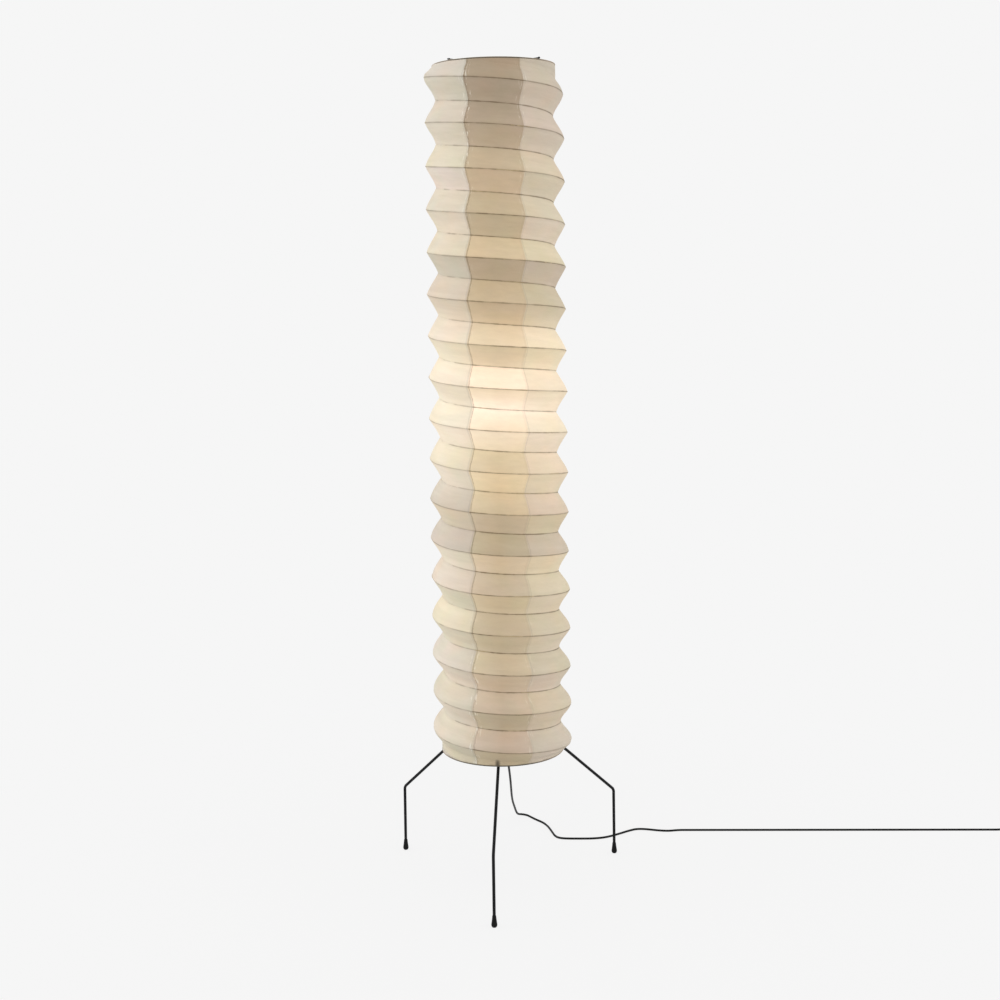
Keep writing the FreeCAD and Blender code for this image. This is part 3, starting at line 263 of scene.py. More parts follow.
def signed_volume(spots, faces):
    """Six times the volume inside: the sum of each face's triple products."""
    p = spots.reshape(-1, 3)[faces]
    first = np.einsum("ij,ij->i", p[:, 0], np.cross(p[:, 1], p[:, 2]))
    second = np.einsum("ij,ij->i", p[:, 0], np.cross(p[:, 2], p[:, 3]))
    return float((first + second).sum())


def outward(spots, faces):
    """The same faces, turned round if they enclose a negative volume."""
    faces = faces.reshape(-1, 4)
    middle = spots.reshape(-1, 3).mean(0)
    return faces if signed_volume(spots - middle, faces) > 0 else faces[:, ::-1]


def turned_piece(name, profile, centre, segments):
    """A profile of (radius, height) carried round Z at centre: each ring is the way outward times
    the radius, plus the height. The profile closes on itself or has both ends on the axis."""
    profile = np.asarray(profile, float)
    around = np.linspace(0, TURN, segments, endpoint=False)
    ring = toward(around)[None] * profile[:, 0, None, None]
    spots = ring + UP * profile[:, 1, None, None] + np.asarray(centre)
    closed = profile[0, 0] > DOUBLED
    faces = outward(spots, grid_faces(len(profile), segments, closed, True))
    return tidy(mesh_piece(name, spots, faces))


def tidy(piece, sharp=None):
    """Merge doubled corners, drop faces without area and mark folds sharper than so many
    degrees."""
    work = bmesh.new()
    work.from_mesh(piece.data)
    bmesh.ops.remove_doubles(work, verts=work.verts, dist=DOUBLED)
    bmesh.ops.dissolve_degenerate(work, edges=work.edges, dist=DOUBLED)
    work.to_mesh(piece.data)
    work.free()
    if sharp is not None:
        piece.data.set_sharp_from_angle(angle=math.radians(sharp))
    return piece


def tube_piece(name, path, radius, side, sides):
    """A tube along path: rings square to the path's slope, each corner at the cosine of its angle
    across and the sine upwards, with flat ends. Side is the direction that across keeps near."""
    path = np.asarray(path, float)
    slope = np.gradient(path, axis=0)
    slope /= np.linalg.norm(slope, axis=1)[:, None]
    up = np.cross(slope, np.broadcast_to(side, path.shape))
    up /= np.linalg.norm(up, axis=1)[:, None]
    across = np.cross(up, slope)
    around = np.linspace(0, TURN, sides, endpoint=False)[None, :, None]
    ring = np.cos(around) * across[:, None] + np.sin(around) * up[:, None]
    wall = path[:, None] + radius * ring
    ends = [np.broadcast_to(path[k], (1, sides, 3)) for k in (0, -1)]
    spots = np.concatenate([ends[0], wall, ends[1]])
    faces = outward(spots, grid_faces(len(spots), sides, False, True))
    return tidy(mesh_piece(name, spots, faces), TUBE_SHARP)


# ---------------------------------------------------------------- the shade's shape


def helix_height(turns):
    """Height after so many turns down from the top. The pitch shrinks steadily, so the drop is the
    first pitch times the turns, less a share of the turns squared."""
    k = kit()
    drop, ratio = k.top - k.bottom, k.pitch_ratio
    first = 2 * drop / k.turns * ratio / (1 + ratio)
    loss = first * (1 - 1 / ratio) / (2 * k.turns)
    return k.top - first * turns + loss * turns**2


def smooth(value, low, width):
    """0 up to low, 1 from low plus width, and three squares less two cubes between."""
    part = np.clip((value - low) / width, 0, 1)
    return part * part * (3 - 2 * part)


def paper_radius(turns, phase):
    """Radius of the paper. The phase is whole on a ridge and half on a valley. Between them the
    radius is a straight slope, blended with a cosine towards both ends of the shade, where the
    paper is slacker. The strip over each ridge swells by a sine of the phase and the strip under
    it hollows, both more so low down. Inward folds flatten out near both edges, clear of the
    hoops, and everything eases to the rim there."""
    k = kit()
    down = np.clip(turns / k.turns, 0, 1)
    edge = np.minimum(turns, k.turns - turns)
    part = np.mod(phase, 1.0)
    straight = np.abs(1 - 2 * part)
    soft = 0.5 - 0.5 * np.cos(np.pi * straight)
    slack = 0.16 + 0.6 * np.abs(2 * down - 0.9) ** 2.2 + 0.8 * np.clip(1 - edge / 0.7, 0, 1)
    slack = np.clip(slack, 0, 0.95)
    rise = straight * (1 - slack) + soft * slack
    radius = k.valley + (k.ridge - k.valley) * rise
    under = HOLLOW_UNDER[0] + HOLLOW_UNDER[1] * down
    over = SWELL_OVER[0] + SWELL_OVER[1] * down**2
    radius -= np.where(part < 0.5, under, over) * np.sin(TURN * part)
    flat = k.rim - (k.rim - radius) * smooth(edge, *HOLLOWS_FROM)
    radius = np.where(radius < k.rim, flat, radius)
    return k.rim + (radius - k.rim) * smooth(edge, *PLEATS_FROM)


def paper_spot(azimuth, phase, inset=0.0):
    """Places on the paper for azimuths (radians) and phases: the turns are the phase plus the part
    of a turn from the helix's start. The paper drifts by sines of both, away from its edges."""
    k = kit()
    turns = np.clip(phase + (azimuth - k.start) / TURN, 0, k.turns)
    inner = np.clip(np.minimum(turns, k.turns - turns) / 0.6, 0, 1)
    from_camera = azimuth - bpy.context.scene.lantern_stage.azimuth
    height = helix_height(turns) + k.lean * np.sin(from_camera) * inner
    drift = 0.0006 * np.sin(3 * azimuth + 2.3 * phase) + 0.0005 * np.sin(7 * azimuth - 5.1 * phase)
    radius = paper_radius(turns, phase) + drift * inner - inset
    return toward(azimuth) * radius[..., None] + AXIS + height[..., None] * UP


def gore_number(azimuth):
    """Whole at each seam, 0 at the front gore's left one, and straight lines between. It runs at
    the same rate beside every seam, so that seams look alike beside wide and narrow gores."""
    seams = np.array(kit().seams)[:, None]
    near = np.array([-0.17, 0.0, 0.17])
    counted = np.arange(len(seams))[:, None] - FRONT_SEAM + near
    return np.interp(azimuth, (seams + near * TURN / GORES).ravel(), counted.ravel())


def paper_tube():
    """The pasted tube: even columns in each gore, rows at even phases, so that every seam is a
    column and every fold is a row. Rows past either edge fall together on it. Each column's end
    meets the first column a turn further down, and the tube gets its thickness inwards."""
    k = kit()
    azimuth = np.unique(np.concatenate([
        np.linspace(low, high, round((high - low) / COLUMN) + 1)
        for low, high in zip(k.seams[:-1], k.seams[1:])
    ]))
    step = 1 / (2 * ROWS_PER_FOLD)
    shift = (azimuth[0] - k.start) / TURN
    low = math.floor((-1 - shift) / step) * step
    phase = np.arange(low, k.turns - shift + step, step)
    a, p = np.meshgrid(azimuth, phase)
    spots = paper_spot(a, p)
    turns = np.clip(p + (a - k.start) / TURN, 0, k.turns)
    faces = grid_faces(len(phase), len(azimuth), False, False).reshape(-1, 4)
    ends = turns.reshape(-1)[faces]
    faces = faces[(ends.max(1) - ends.min(1)) > 1e-5]
    piece = mesh_piece("paper_tube", spots, faces[:, ::-1])
    folds = 2 * (turns - (a - k.start) / TURN)
    uv = np.stack([gore_number(a), folds], -1).reshape(-1, 2)
    corner = np.empty(len(piece.data.loops), int)
    piece.data.loops.foreach_get("vertex_index", corner)
    layer = piece.data.uv_layers.new(name="gore_and_fold")
    layer.data.foreach_set("uv", uv[corner].astype(np.float32).ravel())
    tidy(piece, PAPER_SHARP)
    thick = piece.modifiers.new("paper", "SOLIDIFY")
    thick.thickness = k.wall
    thick.offset = -1
    thick.material_offset = 1
    thick.material_offset_rim = 0
    return piece


def bamboo_piece(name, half):
    """One split-bamboo rib just inside the paper's folds, on every whole or half phase. The rib of
    the inward folds ends higher, clear of the lower hoop when the shade is folded, and the rib of
    the outward ones lies a little deeper in its sharper folds."""
    k = kit()
    last = k.turns - (INNER_RIB_END if half else RIB_END)
    turns = np.linspace(RIB_END, last, int(k.turns * RIB_POINTS))
    azimuth = k.start + TURN * (turns - half)
    inset = k.wall + (k.bamboo + 0.0003) * (1.0 if half else 1.13)
    path = paper_spot(azimuth, np.full_like(turns, half), inset)
    return tube_piece(name, path, k.bamboo, toward(azimuth), 6)


# ---------------------------------------------------------------- finishes


class Finish:
    """A node material. add() makes a node, and the other methods make one or a few and return the
    output."""

    def __init__(self, name):
        self.made = bpy.data.materials.new(name)
        self.made.use_nodes = True
        self.tree = self.made.node_tree
        self.tree.nodes.clear()
        self.place = self.add("ShaderNodeTexCoord").outputs["Object"]

    def add(self, kind, inputs=(), **settings):
        """A node with these settings, its inputs joined to an output or set to a value."""
        node = self.tree.nodes.new(kind)
        for key, value in settings.items():
            setattr(node, key, value)
        for key, value in dict(inputs).items():
            socket = node.inputs[key]
            if isinstance(value, bpy.types.NodeSocket):
                self.tree.links.new(value, socket)
            elif socket.type == "RGBA":
                socket.default_value = (*value, 1.0)[:4]
            else:
                socket.default_value = value
        return node

    def maths(self, operation, *values):
        """One operation of the Math node."""
        inputs = dict(enumerate(values))
        return self.add("ShaderNodeMath", inputs, operation=operation).outputs[0]

    def times(self, value, *shares):
        """The product of all."""
        for factor in shares:
            value = self.maths("MULTIPLY", value, factor)
        return value

    def plus(self, first, second):
        """The sum."""
        return self.maths("ADD", first, second)

    def less(self, first, second):
        """The first without the second."""
        return self.maths("SUBTRACT", first, second)

    def dim(self, mask, depth):
        """1 where the mask is 0, and 1 less depth where it is 1."""
        return self.maths("MULTIPLY_ADD", mask, -depth, 1.0)

    def vector(self, operation, *values):
        """One operation of the Vector Math node."""
        node = self.add("ShaderNodeVectorMath", dict(enumerate(values)), operation=operation)
        return node.outputs["Value" if operation in ("DOT_PRODUCT", "LENGTH") else "Vector"]

    def split(self, vector):
        """The three parts of a vector."""
        return self.add("ShaderNodeSeparateXYZ", {0: vector}).outputs

    def plane(self, x, y):
        """A vector from two numbers."""
        return self.add("ShaderNodeCombineXYZ", {0: x, 1: y}).outputs[0]

    def grey(self, value):
        """A number as a colour."""
        return self.add("ShaderNodeCombineColor", {0: value, 1: value, 2: value}).outputs[0]

    def noise(self, scale, detail=4.0, rough=0.55, at=None):
        """A noise from 0 to 1, at the piece's own coordinates unless it gets others."""
        inputs = {"Vector": at or self.place, "Scale": scale, "Detail": detail, "Roughness": rough}
        return self.add("ShaderNodeTexNoise", inputs).outputs["Fac"]

    def stretched(self, x, y, z, at=None):
        """Coordinates times a scale for each axis; a small one draws a pattern out along it."""
        inputs = {"Vector": at or self.place, "Scale": (x, y, z)}
        return self.add("ShaderNodeMapping", inputs).outputs[0]

    def between(self, value, low, high, to_low=0.0, to_high=1.0):
        """value carried from low..high to to_low..to_high, smoothly and held at both ends."""
        inputs = {"Value": value, 1: low, 2: high, 3: to_low, 4: to_high}
        return self.add("ShaderNodeMapRange", inputs, interpolation_type="SMOOTHSTEP").outputs[0]

    def fade(self, value, low, high):
        """1 up to low and 0 from high."""
        return self.between(value, low, high, 1.0, 0.0)

    def blend(self, part, first, second, how="MIX"):
        """From the first colour to the second by a part; how is MIX or MULTIPLY."""
        inputs = {0: part, 6: first, 7: second}
        return self.add("ShaderNodeMix", inputs, data_type="RGBA", blend_type=how).outputs[2]

    def bump(self, height, distance, strength, over=None):
        """A normal from a height, over another normal if given."""
        inputs = {"Height": height, "Distance": distance, "Strength": strength}
        if over is not None:
            inputs["Normal"] = over
        return self.add("ShaderNodeBump", inputs).outputs[0]

    def grain(self, scale, distance, strength):
        """A normal from a plain noise."""
        return self.bump(self.noise(scale, 2.0), distance, strength)

    def worn(self, noise, colour, other, low, high, most, gloss):
        """Sockets for a colour that goes to another, by up to most, as the noise goes from low to
        high, and for a roughness that follows the noise between gloss's values."""
        tone = self.blend(self.between(noise, low, high, 0.0, most), colour, other)
        return {"Base_Color": tone, "Roughness": self.between(noise, *gloss)}

    def end(self, **sockets):
        """The surface shader, its sockets named with _ for a space. It returns the material."""
        inputs = {key.replace("_", " "): value for key, value in sockets.items()}
        shader = self.add("ShaderNodeBsdfPrincipled", inputs)
        self.add("ShaderNodeOutputMaterial", {"Surface": shader.outputs[0]})
        return self.made


def steps(f, index, shares):
    """Each whole index, counted round, gets its own share, with an even change to the next."""
    count = len(shares)
    place = f.maths("DIVIDE", f.maths("FLOORED_MODULO", index, float(count)), float(count))
    node = f.add("ShaderNodeValToRGB", {0: place})
    ramp = node.color_ramp.elements
    ramp[1].position = 1.0
    for k in range(1, count):
        ramp.new(k / count)
    for stop, value in zip(ramp, (*shares, shares[0])):
        stop.color = (value, value, value, 1)
    return node.outputs[0]


# One share for each gore, from the front one to the right and round: how dark its tone is, partly
# its sheet's own brown and partly painted shade, most at the front and least on the left, the same
# lower down, how much of the painted glow comes through it, and how well the seam on its left shows
SHADE_AND_BROWN = (1.0, 0.43, 0.25, 0.5, 0.3, 0.6, 0.35, 0.0)
SHADE_AND_BROWN_LOWER = (0.88, 0.45, 0.35, 0.45, 0.35, 0.5, 0.4, 0.0)
GLOW_THROUGH = (1.0, 0.70, 0.70, 0.85, 0.70, 0.90, 0.65, 0.43)
SEAM_SHOWS = (1.0, 0.35, 0.6, 0.5, 0.7, 0.4, 0.6, 0.55)


def cell_tones(f, gore, fold):
    """A brightness about 1 and a colour about white for each cell between two ribs and two seams,
    from a fixed random value for the cell's two whole numbers."""
    sheet = f.maths("FLOORED_MODULO", f.maths("FLOOR", gore), float(GORES))
    cell = f.plane(sheet, f.maths("MAXIMUM", f.maths("FLOOR", fold), -1.0))
    chance = f.add("ShaderNodeTexWhiteNoise", {"Vector": cell}, noise_dimensions="2D")
    parts = f.add("ShaderNodeSeparateColor", {0: chance.outputs["Color"]}).outputs
    hue = {
        k: f.maths("MULTIPLY_ADD", parts[k], spread, 1 - spread / 2)
        for k, spread in enumerate((0.045, 0.045, 0.10))
    }
    hue = f.add("ShaderNodeCombineColor", hue).outputs[0]
    return f.maths("MULTIPLY_ADD", chance.outputs["Value"], 0.13, 0.935), hue


def rib_lines(f, gore, fold, glow_share, flat):
    """How strongly the bamboo shows as a painted shadow, partly its own brown seen through the
    paper, and the paste beside it, by the distance to the nearest fold. It shows less where less
    painted glow comes through. Where the least comes through, the ribs of the inward folds, and low
    down all of them, fade out towards the gore's left. Beside both edges of the shade the inward
    ones don't show."""
    k = kit()
    nearest = f.maths("ROUND", fold)
    from_rib = f.times(f.maths("ABSOLUTE", f.less(fold, nearest)), FOLD_METRES)
    wander = f.noise(60.0, 2.0, 0.5, at=flat)
    width = f.between(wander, 0.3, 0.7, 0.0010, 0.0018)
    rib = f.fade(from_rib, f.times(width, 0.4), f.times(width, 1.5))
    rib = f.times(rib, f.between(f.noise(17.0, 3.0, 0.6, at=flat), 0.35, 0.6, 0.6, 1.0))
    inward = f.maths("FLOORED_MODULO", nearest, 2.0)
    inward = f.maths("MAXIMUM", inward, f.between(fold, 21.0, 28.0, 0.0, 0.7))
    across = f.plus(f.maths("FRACT", gore), f.times(f.less(wander, 0.5), 1.4))
    clear = f.between(across, 0.45, 0.85, 0.05, 1.0)
    clear = f.maths("MAXIMUM", clear, f.between(glow_share, 0.40, 0.60))
    height = f.split(f.place)[2]
    under_top = f.fade(height, k.top - 0.055, k.top - 0.03)
    over_bottom = f.between(height, k.bottom + 0.015, k.bottom + 0.035)
    clear = f.times(clear, f.times(under_top, over_bottom))
    seen = f.blend(inward, (1, 1, 1), f.grey(clear))
    shows = f.times(f.between(glow_share, 0.35, 0.9, 0.55, 1.0), seen)
    return f.times(rib, shows), f.fade(from_rib, 0.001, 0.0065)


def seam_lines(f, gore, fold, flat):
    """The doubled paper at a seam, the crisp edge on its right and creases beside it, whose paler
    colour is a painted highlight on their folds, by the distance to the nearest seam. The seam is
    more ragged and more creased near the shade's ends."""
    k = kit()
    nearest = f.maths("ROUND", gore)
    from_seam = f.times(f.less(gore, nearest), GORE_METRES)
    height = f.split(f.place)[2]
    near_top = f.between(height, k.top - 0.45, k.top - 0.15, 0.15, 1.0)
    near_bottom = f.between(height, k.bottom + 0.10, k.bottom + 0.35, 0.8, 0.0)
    ends = f.plus(near_top, near_bottom)
    ragged = f.less(f.noise(90.0, 4.0, 0.7, at=flat), 0.5)
    ragged = f.times(ragged, f.maths("MULTIPLY_ADD", ends, 0.009, 0.004))
    ragged = f.plus(ragged, from_seam)
    lap = f.times(f.between(ragged, -0.0046, -0.0036), f.fade(ragged, 0.0030, 0.0036))
    edge = f.times(f.between(ragged, 0.0014, 0.0026), f.fade(ragged, 0.0032, 0.0044))
    edge = f.times(edge, f.dim(ends, 0.55))
    shows = steps(f, nearest, SEAM_SHOWS)
    upright = f.plane(f.times(from_seam, 230.0), f.times(fold, 2.3))
    crease = f.between(f.noise(1.0, 3.0, 0.6, at=upright), 0.56, 0.64)
    crease = f.times(crease, f.fade(f.maths("ABSOLUTE", from_seam), 0.005, 0.015))
    return f.times(lap, shows), f.times(edge, shows), f.times(crease, ends, shows)


def bulb_light(f, inside, look):
    """The bulb's light on the paper's inner face: the cosine there over the distance squared, to
    a power as a photograph shows it, less below the lampholder, and a haze that falls off with
    the exponential of the distance."""
    low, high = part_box("bulb_glass")
    bulb = (float(low[0] + high[0]) / 2, float(low[1] + high[1]) / 2, float(high[2]) - 0.022)
    ray = f.vector("SUBTRACT", bulb, f.place)
    away = f.vector("LENGTH", ray)
    normal = f.add("ShaderNodeTexCoord").outputs["Normal"]
    facing = f.vector("DOT_PRODUCT", f.vector("NORMALIZE", ray), normal)
    facing = f.maths("MAXIMUM", f.times(facing, 1.0 if inside else -1.0), 0.0)
    near = f.maths("POWER", f.maths("DIVIDE", 0.1, away), 2.0)
    direct = f.maths("POWER", f.times(f.plus(facing, 0.015), near), look.falloff)
    height = f.split(f.place)[2]
    over_holder = f.between(height, bulb[2] - 0.14, bulb[2] - 0.02, 0.45, 1.0)
    direct = f.times(direct, look.direct, over_holder)
    haze = f.maths("EXPONENT", f.maths("DIVIDE", away, -look.reach))
    return f.maths("MULTIPLY_ADD", haze, look.haze, direct)


def peg_shadows(f):
    """The dark tips of the three legs, seen through the paper where they meet the lower hoop: a
    spot by the distance from each tip, drawn out upright."""
    k = kit()
    spots = []
    for leg in (0, 120, 240):
        peg = AXIS + toward(math.radians(leg)) * (k.rim + 0.001) + (-0.001, 0, k.bottom + 0.003)
        off = f.vector("SUBTRACT", f.place, tuple(peg))
        off = f.vector("MULTIPLY", off, (1.0, 1.0, 0.42))
        spots.append(f.fade(f.vector("LENGTH", off), 0.001, 0.0088))
    return f.maths("MAXIMUM", f.maths("MAXIMUM", spots[0], spots[1]), spots[2])


def sheet_tone(f, look, gore, fold, hue):
    """The paper's colour: each gore's share of the darker tone, partly its sheet's own brown and
    partly painted shade, evened out lower down, with each cell's hue and two kinds of cloudy stain."""
    # each gore's darker tone: partly its sheet's own brown, partly painted shade, most at the front
    lower = f.between(fold, 6.0, 20.0, 0.10, 0.60)
    own = steps(f, f.maths("FLOOR", gore), SHADE_AND_BROWN)
    browner_and_shaded = f.blend(lower, own, steps(f, f.less(gore, 0.5), SHADE_AND_BROWN_LOWER))
    tone = f.blend(browner_and_shaded, look.base, look.shaded)
    tone = f.blend(1.0, tone, hue, "MULTIPLY")
    for scale, stain in ((13.0, (1.06, 0.97, 0.90)), (17.0, (0.93, 1.0, 0.93))):
        cloud = f.between(f.noise(scale, 3.0, 0.5), 0.35, 0.75, 0.0, 0.6)
        tone = f.blend(cloud, tone, f.blend(1.0, tone, stain, "MULTIPLY"))
    return tone


def darker_bands(f, fold, glow_share):
    """How much darker the paper is: two bands of turns, and towards the bottom and the top, the top
    more so on gores with more glow."""
    upper = f.times(f.between(fold, 7.9, 8.1), f.between(fold, 9.5, 12.0, 0.20, 0.0))
    lower = f.times(f.between(fold, 18.0, 20.8), f.between(fold, 21.9, 22.1, 0.19, 0.0))
    top = f.times(f.between(fold, 0.0, 4.0, 0.11, 0.0), f.between(glow_share, 0.35, 1.0, 0.3, 2.0))
    bottom = f.between(fold, 29.0, 33.5, 0.0, 0.08)
    return f.plus(f.plus(upper, lower), f.plus(top, bottom))


def paper_finish(name, inside):
    """Mulberry paper; its UV counts gores across and folds down. Each gore has its own darker or
    paler tone, partly its sheet's colour and partly painted shade, each cell has its own tone, and
    some bands of turns are darker. The bamboo, as a painted shadow that is partly its own brown,
    and the doubled paper at a seam show as darker lines, and the bulb's light comes through, less
    of it on the inner face."""
    look = bpy.context.scene.lantern_paper
    f = Finish(name)
    gore, fold = f.split(f.add("ShaderNodeUVMap", uv_map="gore_and_fold").outputs[0])[:2]
    flat = f.plane(f.times(gore, 0.12), f.times(fold, 0.055))
    # each gore's share of the painted glow, which also sets how well its ribs show
    glow_share = steps(f, f.maths("FLOOR", gore), GLOW_THROUGH)
    bright, hue = cell_tones(f, gore, fold)
    rib, paste = rib_lines(f, gore, fold, glow_share, flat)
    lap, edge, crease = seam_lines(f, gore, fold, flat)
    # clouds, fibres and wrinkles, the last drawn out along the ribs; the wrinkles' tone is painted
    # shade and highlight along their folds
    clouds = f.noise(26.0, 5.0, 0.6, at=f.stretched(1.0, 1.7, 1.0, at=flat))
    fibres = f.noise(420.0, 3.0, 0.7, at=f.stretched(1.0, 3.2, 1.0, at=flat))
    wrinkle = f.noise(30.0, 4.0, 0.6, at=f.stretched(0.32, 1.9, 1.0, at=flat))
    shade = f.times(
        bright,
        f.between(clouds, 0.25, 0.75, 0.965, 1.03),
        f.between(fibres, 0.3, 0.75, 0.985, 1.015),
        f.between(wrinkle, 0.3, 0.7, 0.955, 1.03),
    )
    dark = f.less(1.0, darker_bands(f, fold, glow_share))
    for mask, depth in ((lap, 0.08), (edge, 0.34), (paste, 0.05), (peg_shadows(f), 0.75)):
        dark = f.times(dark, f.dim(mask, depth))
    tone = sheet_tone(f, look, gore, fold, hue)
    tone = f.blend(1.0, tone, f.grey(f.times(shade, dark)), "MULTIPLY")
    # paler creases beside the seams: painted highlights on their folds
    tone = f.blend(f.times(crease, 0.7), tone, (0.93, 0.89, 0.81))
    # the bamboo's painted shadow, partly its own brown seen through the paper
    tone = f.blend(f.times(rib, 0.92), tone, look.rib)
    # the light through the paper, whiter where there is more of it
    light = bulb_light(f, inside, look)
    warmth = f.blend(f.between(light, 0.2, 0.85), look.glow, look.hot)
    warmth = f.blend(f.between(light, 0.80, 1.05, 0.0, 0.6), warmth, (1.0, 0.95, 0.90))
    clear = f.noise(34.0, 4.0, 0.6, at=f.stretched(1.0, 2.4, 1.0, at=flat))
    light = f.times(light, f.between(clear, 0.25, 0.8, 0.93, 1.06), glow_share, dark, bright)
    light = f.times(light, f.dim(rib, 0.6), f.dim(lap, 0.12))
    if inside:
        light = f.times(light, 0.6)
    glow = f.blend(1.0, warmth, f.grey(light), "MULTIPLY")
    # bumps: wrinkles, then creases and the step of a lap, then fibres and ribs
    pull = f.maths("MULTIPLY_ADD", paste, 0.5, 0.6)
    normal = f.bump(f.times(wrinkle, pull), 0.0035, 0.6)
    normal = f.bump(f.maths("MULTIPLY_ADD", crease, 1.5, lap), 0.0006, 0.6, over=normal)
    normal = f.bump(f.maths("MULTIPLY_ADD", fibres, 0.5, rib), 0.0004, 0.6, over=normal)
    return f.end(
        Base_Color=tone, Roughness=0.86, Normal=normal, Sheen_Weight=0.10, Sheen_Roughness=0.6,
        Specular_IOR_Level=0.22, Emission_Color=glow, Emission_Strength=1.0,
    )


def hem_finish():
    """Paper rolled over wire and pasted: painted dark at the front, as shade from the wire inside
    it, and in the paper's darker tone towards the back, with creases."""
    look = bpy.context.scene.lantern_paper
    f = Finish("pasted_hem")
    creases = f.noise(190.0, 4.0, 0.65)
    depth = f.split(f.place)[1]
    # painted shade: the roll is dark towards the front, varied by its creases, and takes the
    # paper's darker tone further back
    back = f.plus(f.between(depth, -0.065, 0.03, 0.0, 0.75), f.times(f.noise(22.0), 0.25))
    tone = f.blend(f.between(creases, 0.3, 0.7), (0.045, 0.043, 0.032), (0.10, 0.095, 0.07))
    tone = f.blend(back, tone, look.shaded)
    folds = f.bump(creases, 0.0006, 0.7)
    return f.end(Base_Color=tone, Roughness=0.85, Specular_IOR_Level=0.2, Normal=folds)


def bamboo_finish():
    """Split bamboo: long fibres and a node here and there."""
    f = Finish("split_bamboo")
    grain = f.noise(700.0, 3.0, 0.6, at=f.stretched(0.08, 0.08, 1.0))
    tone = f.blend(grain, (0.42, 0.30, 0.15), (0.60, 0.47, 0.27))
    return f.end(Base_Color=tone, Roughness=0.6, Normal=f.bump(grain, 0.0002, 0.5))


def paint_finish(name, colour, rough):
    """Sprayed black paint: faint orange peel, slightly greyer where hands rub it."""
    f = Finish(name)
    rubbed = [2.6 * c + 0.002 for c in colour]
    gloss = (0.3, 0.75, rough - 0.06, rough + 0.10)
    look = f.worn(f.noise(14.0, 4.0, 0.6), colour, rubbed, 0.45, 0.8, 0.35, gloss)
    return f.end(**look, Specular_IOR_Level=0.14, Normal=f.grain(900.0, 0.00008, 0.5))


def rubber_finish(name):
    """Moulded rubber: matt, dusty and finely grained."""
    f = Finish(name)
    dust, gloss = f.noise(60.0, 5.0, 0.65), (0.3, 0.8, 0.55, 0.75)
    look = f.worn(dust, hard().rubber, (0.018, 0.017, 0.016), 0.5, 0.85, 0.4, gloss)
    return f.end(**look, Specular_IOR_Level=0.14, Normal=f.grain(1500.0, 0.0001, 0.6))


def steel_finish(name):
    """Turned steel: fine rings about the upright axis, and a smear here and there."""
    f = Finish(name)
    rings = f.noise(2600.0, 2.0, 0.5, at=f.stretched(0.02, 0.02, 1.0))
    smear, gloss = f.noise(40.0, 4.0, 0.6), (0.2, 0.8, 0.24, 0.42)
    look = f.worn(smear, hard().steel, (0.34, 0.34, 0.35), 0.3, 0.8, 0.4, gloss)
    return f.end(**look, Metallic=1.0, Normal=f.bump(rings, 0.00006, 0.6))


def brass_finish():
    """Rolled brass, a little tarnished, with the screw thread as level waves."""
    f = Finish("rolled_brass")
    tarnish, gloss = f.noise(120.0, 5.0, 0.6), (0.2, 0.8, 0.25, 0.5)
    look = f.worn(tarnish, hard().brass, (0.42, 0.29, 0.13), 0.4, 0.8, 0.6, gloss)
    inputs = {"Vector": f.place, "Scale": 44.0, "Distortion": 0.0}
    thread = f.add("ShaderNodeTexWave", inputs, bands_direction="Z").outputs["Fac"]
    return f.end(**look, Metallic=1.0, Normal=f.bump(thread, 0.0012, 0.5))


def plastic_finish(name, colour, rough):
    """Moulded plastic: fine spark-eroded grain, with paler worn places."""
    f = Finish(name)
    paler = [min(1, 1.9 * c + 0.004) for c in colour]
    gloss = (0.3, 0.8, rough, rough + 0.14)
    look = f.worn(f.noise(45.0, 4.0, 0.6), colour, paler, 0.4, 0.8, 0.3, gloss)
    return f.end(**look, Specular_IOR_Level=0.22, Normal=f.grain(1400.0, 0.00007, 0.5))


def ceramic_finish():
    """Glazed ceramic: cream, with faint specks."""
    f = Finish("glazed_ceramic")
    specks = f.between(f.noise(380.0, 2.0, 0.5), 0.66, 0.74, 0.0, 0.5)
    tone = f.blend(specks, hard().ceramic, (0.45, 0.40, 0.33))
    return f.end(Base_Color=tone, Roughness=0.22, Coat_Weight=0.4)


def lit_glass_finish(name, strength):
    """Opal glass lit from inside, brightest six tenths of the way up."""
    f = Finish(name)
    low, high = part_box("bulb_glass")
    brightest = float(low[2] + 0.6 * (high[2] - low[2]))
    off = f.maths("ABSOLUTE", f.less(f.split(f.place)[2], brightest))
    tone = f.blend(f.between(off, 0.0, 0.05, 1.0, 0.55), (0.95, 0.72, 0.45), hard().lamp)
    return f.end(
        Base_Color=(0.93, 0.90, 0.84), Roughness=0.25, Emission_Color=tone,
        Emission_Strength=strength,
    )


def flex_finish():
    """Rubber flex: satin, scuffed and finely grained."""
    f = Finish("rubber_flex")
    scuff, gloss = f.noise(38.0, 4.0, 0.6), (0.3, 0.8, 0.45, 0.62)
    look = f.worn(scuff, hard().rubber, (0.014, 0.014, 0.0145), 0.45, 0.8, 0.35, gloss)
    return f.end(**look, Specular_IOR_Level=0.14, Normal=f.grain(900.0, 0.0001, 0.5))


def chrome_finish():
    """Plated pins with fine drawing lines along them."""
    f = Finish("plated_pin")
    lines, gloss = f.noise(1800.0, 2.0, 0.5, at=f.stretched(1.0, 0.03, 1.0)), (0.3, 0.7, 0.16, 0.28)
    look = f.worn(lines, (0.70, 0.69, 0.66), (0.80, 0.79, 0.77), 0.3, 0.7, 1.0, gloss)
    return f.end(**look, Metallic=1.0, Normal=f.bump(lines, 0.00005, 0.5))


def once(name, make, *values):
    """The finish of that name, made when it is first asked for."""
    return bpy.data.materials.get(name) or make(name, *values)


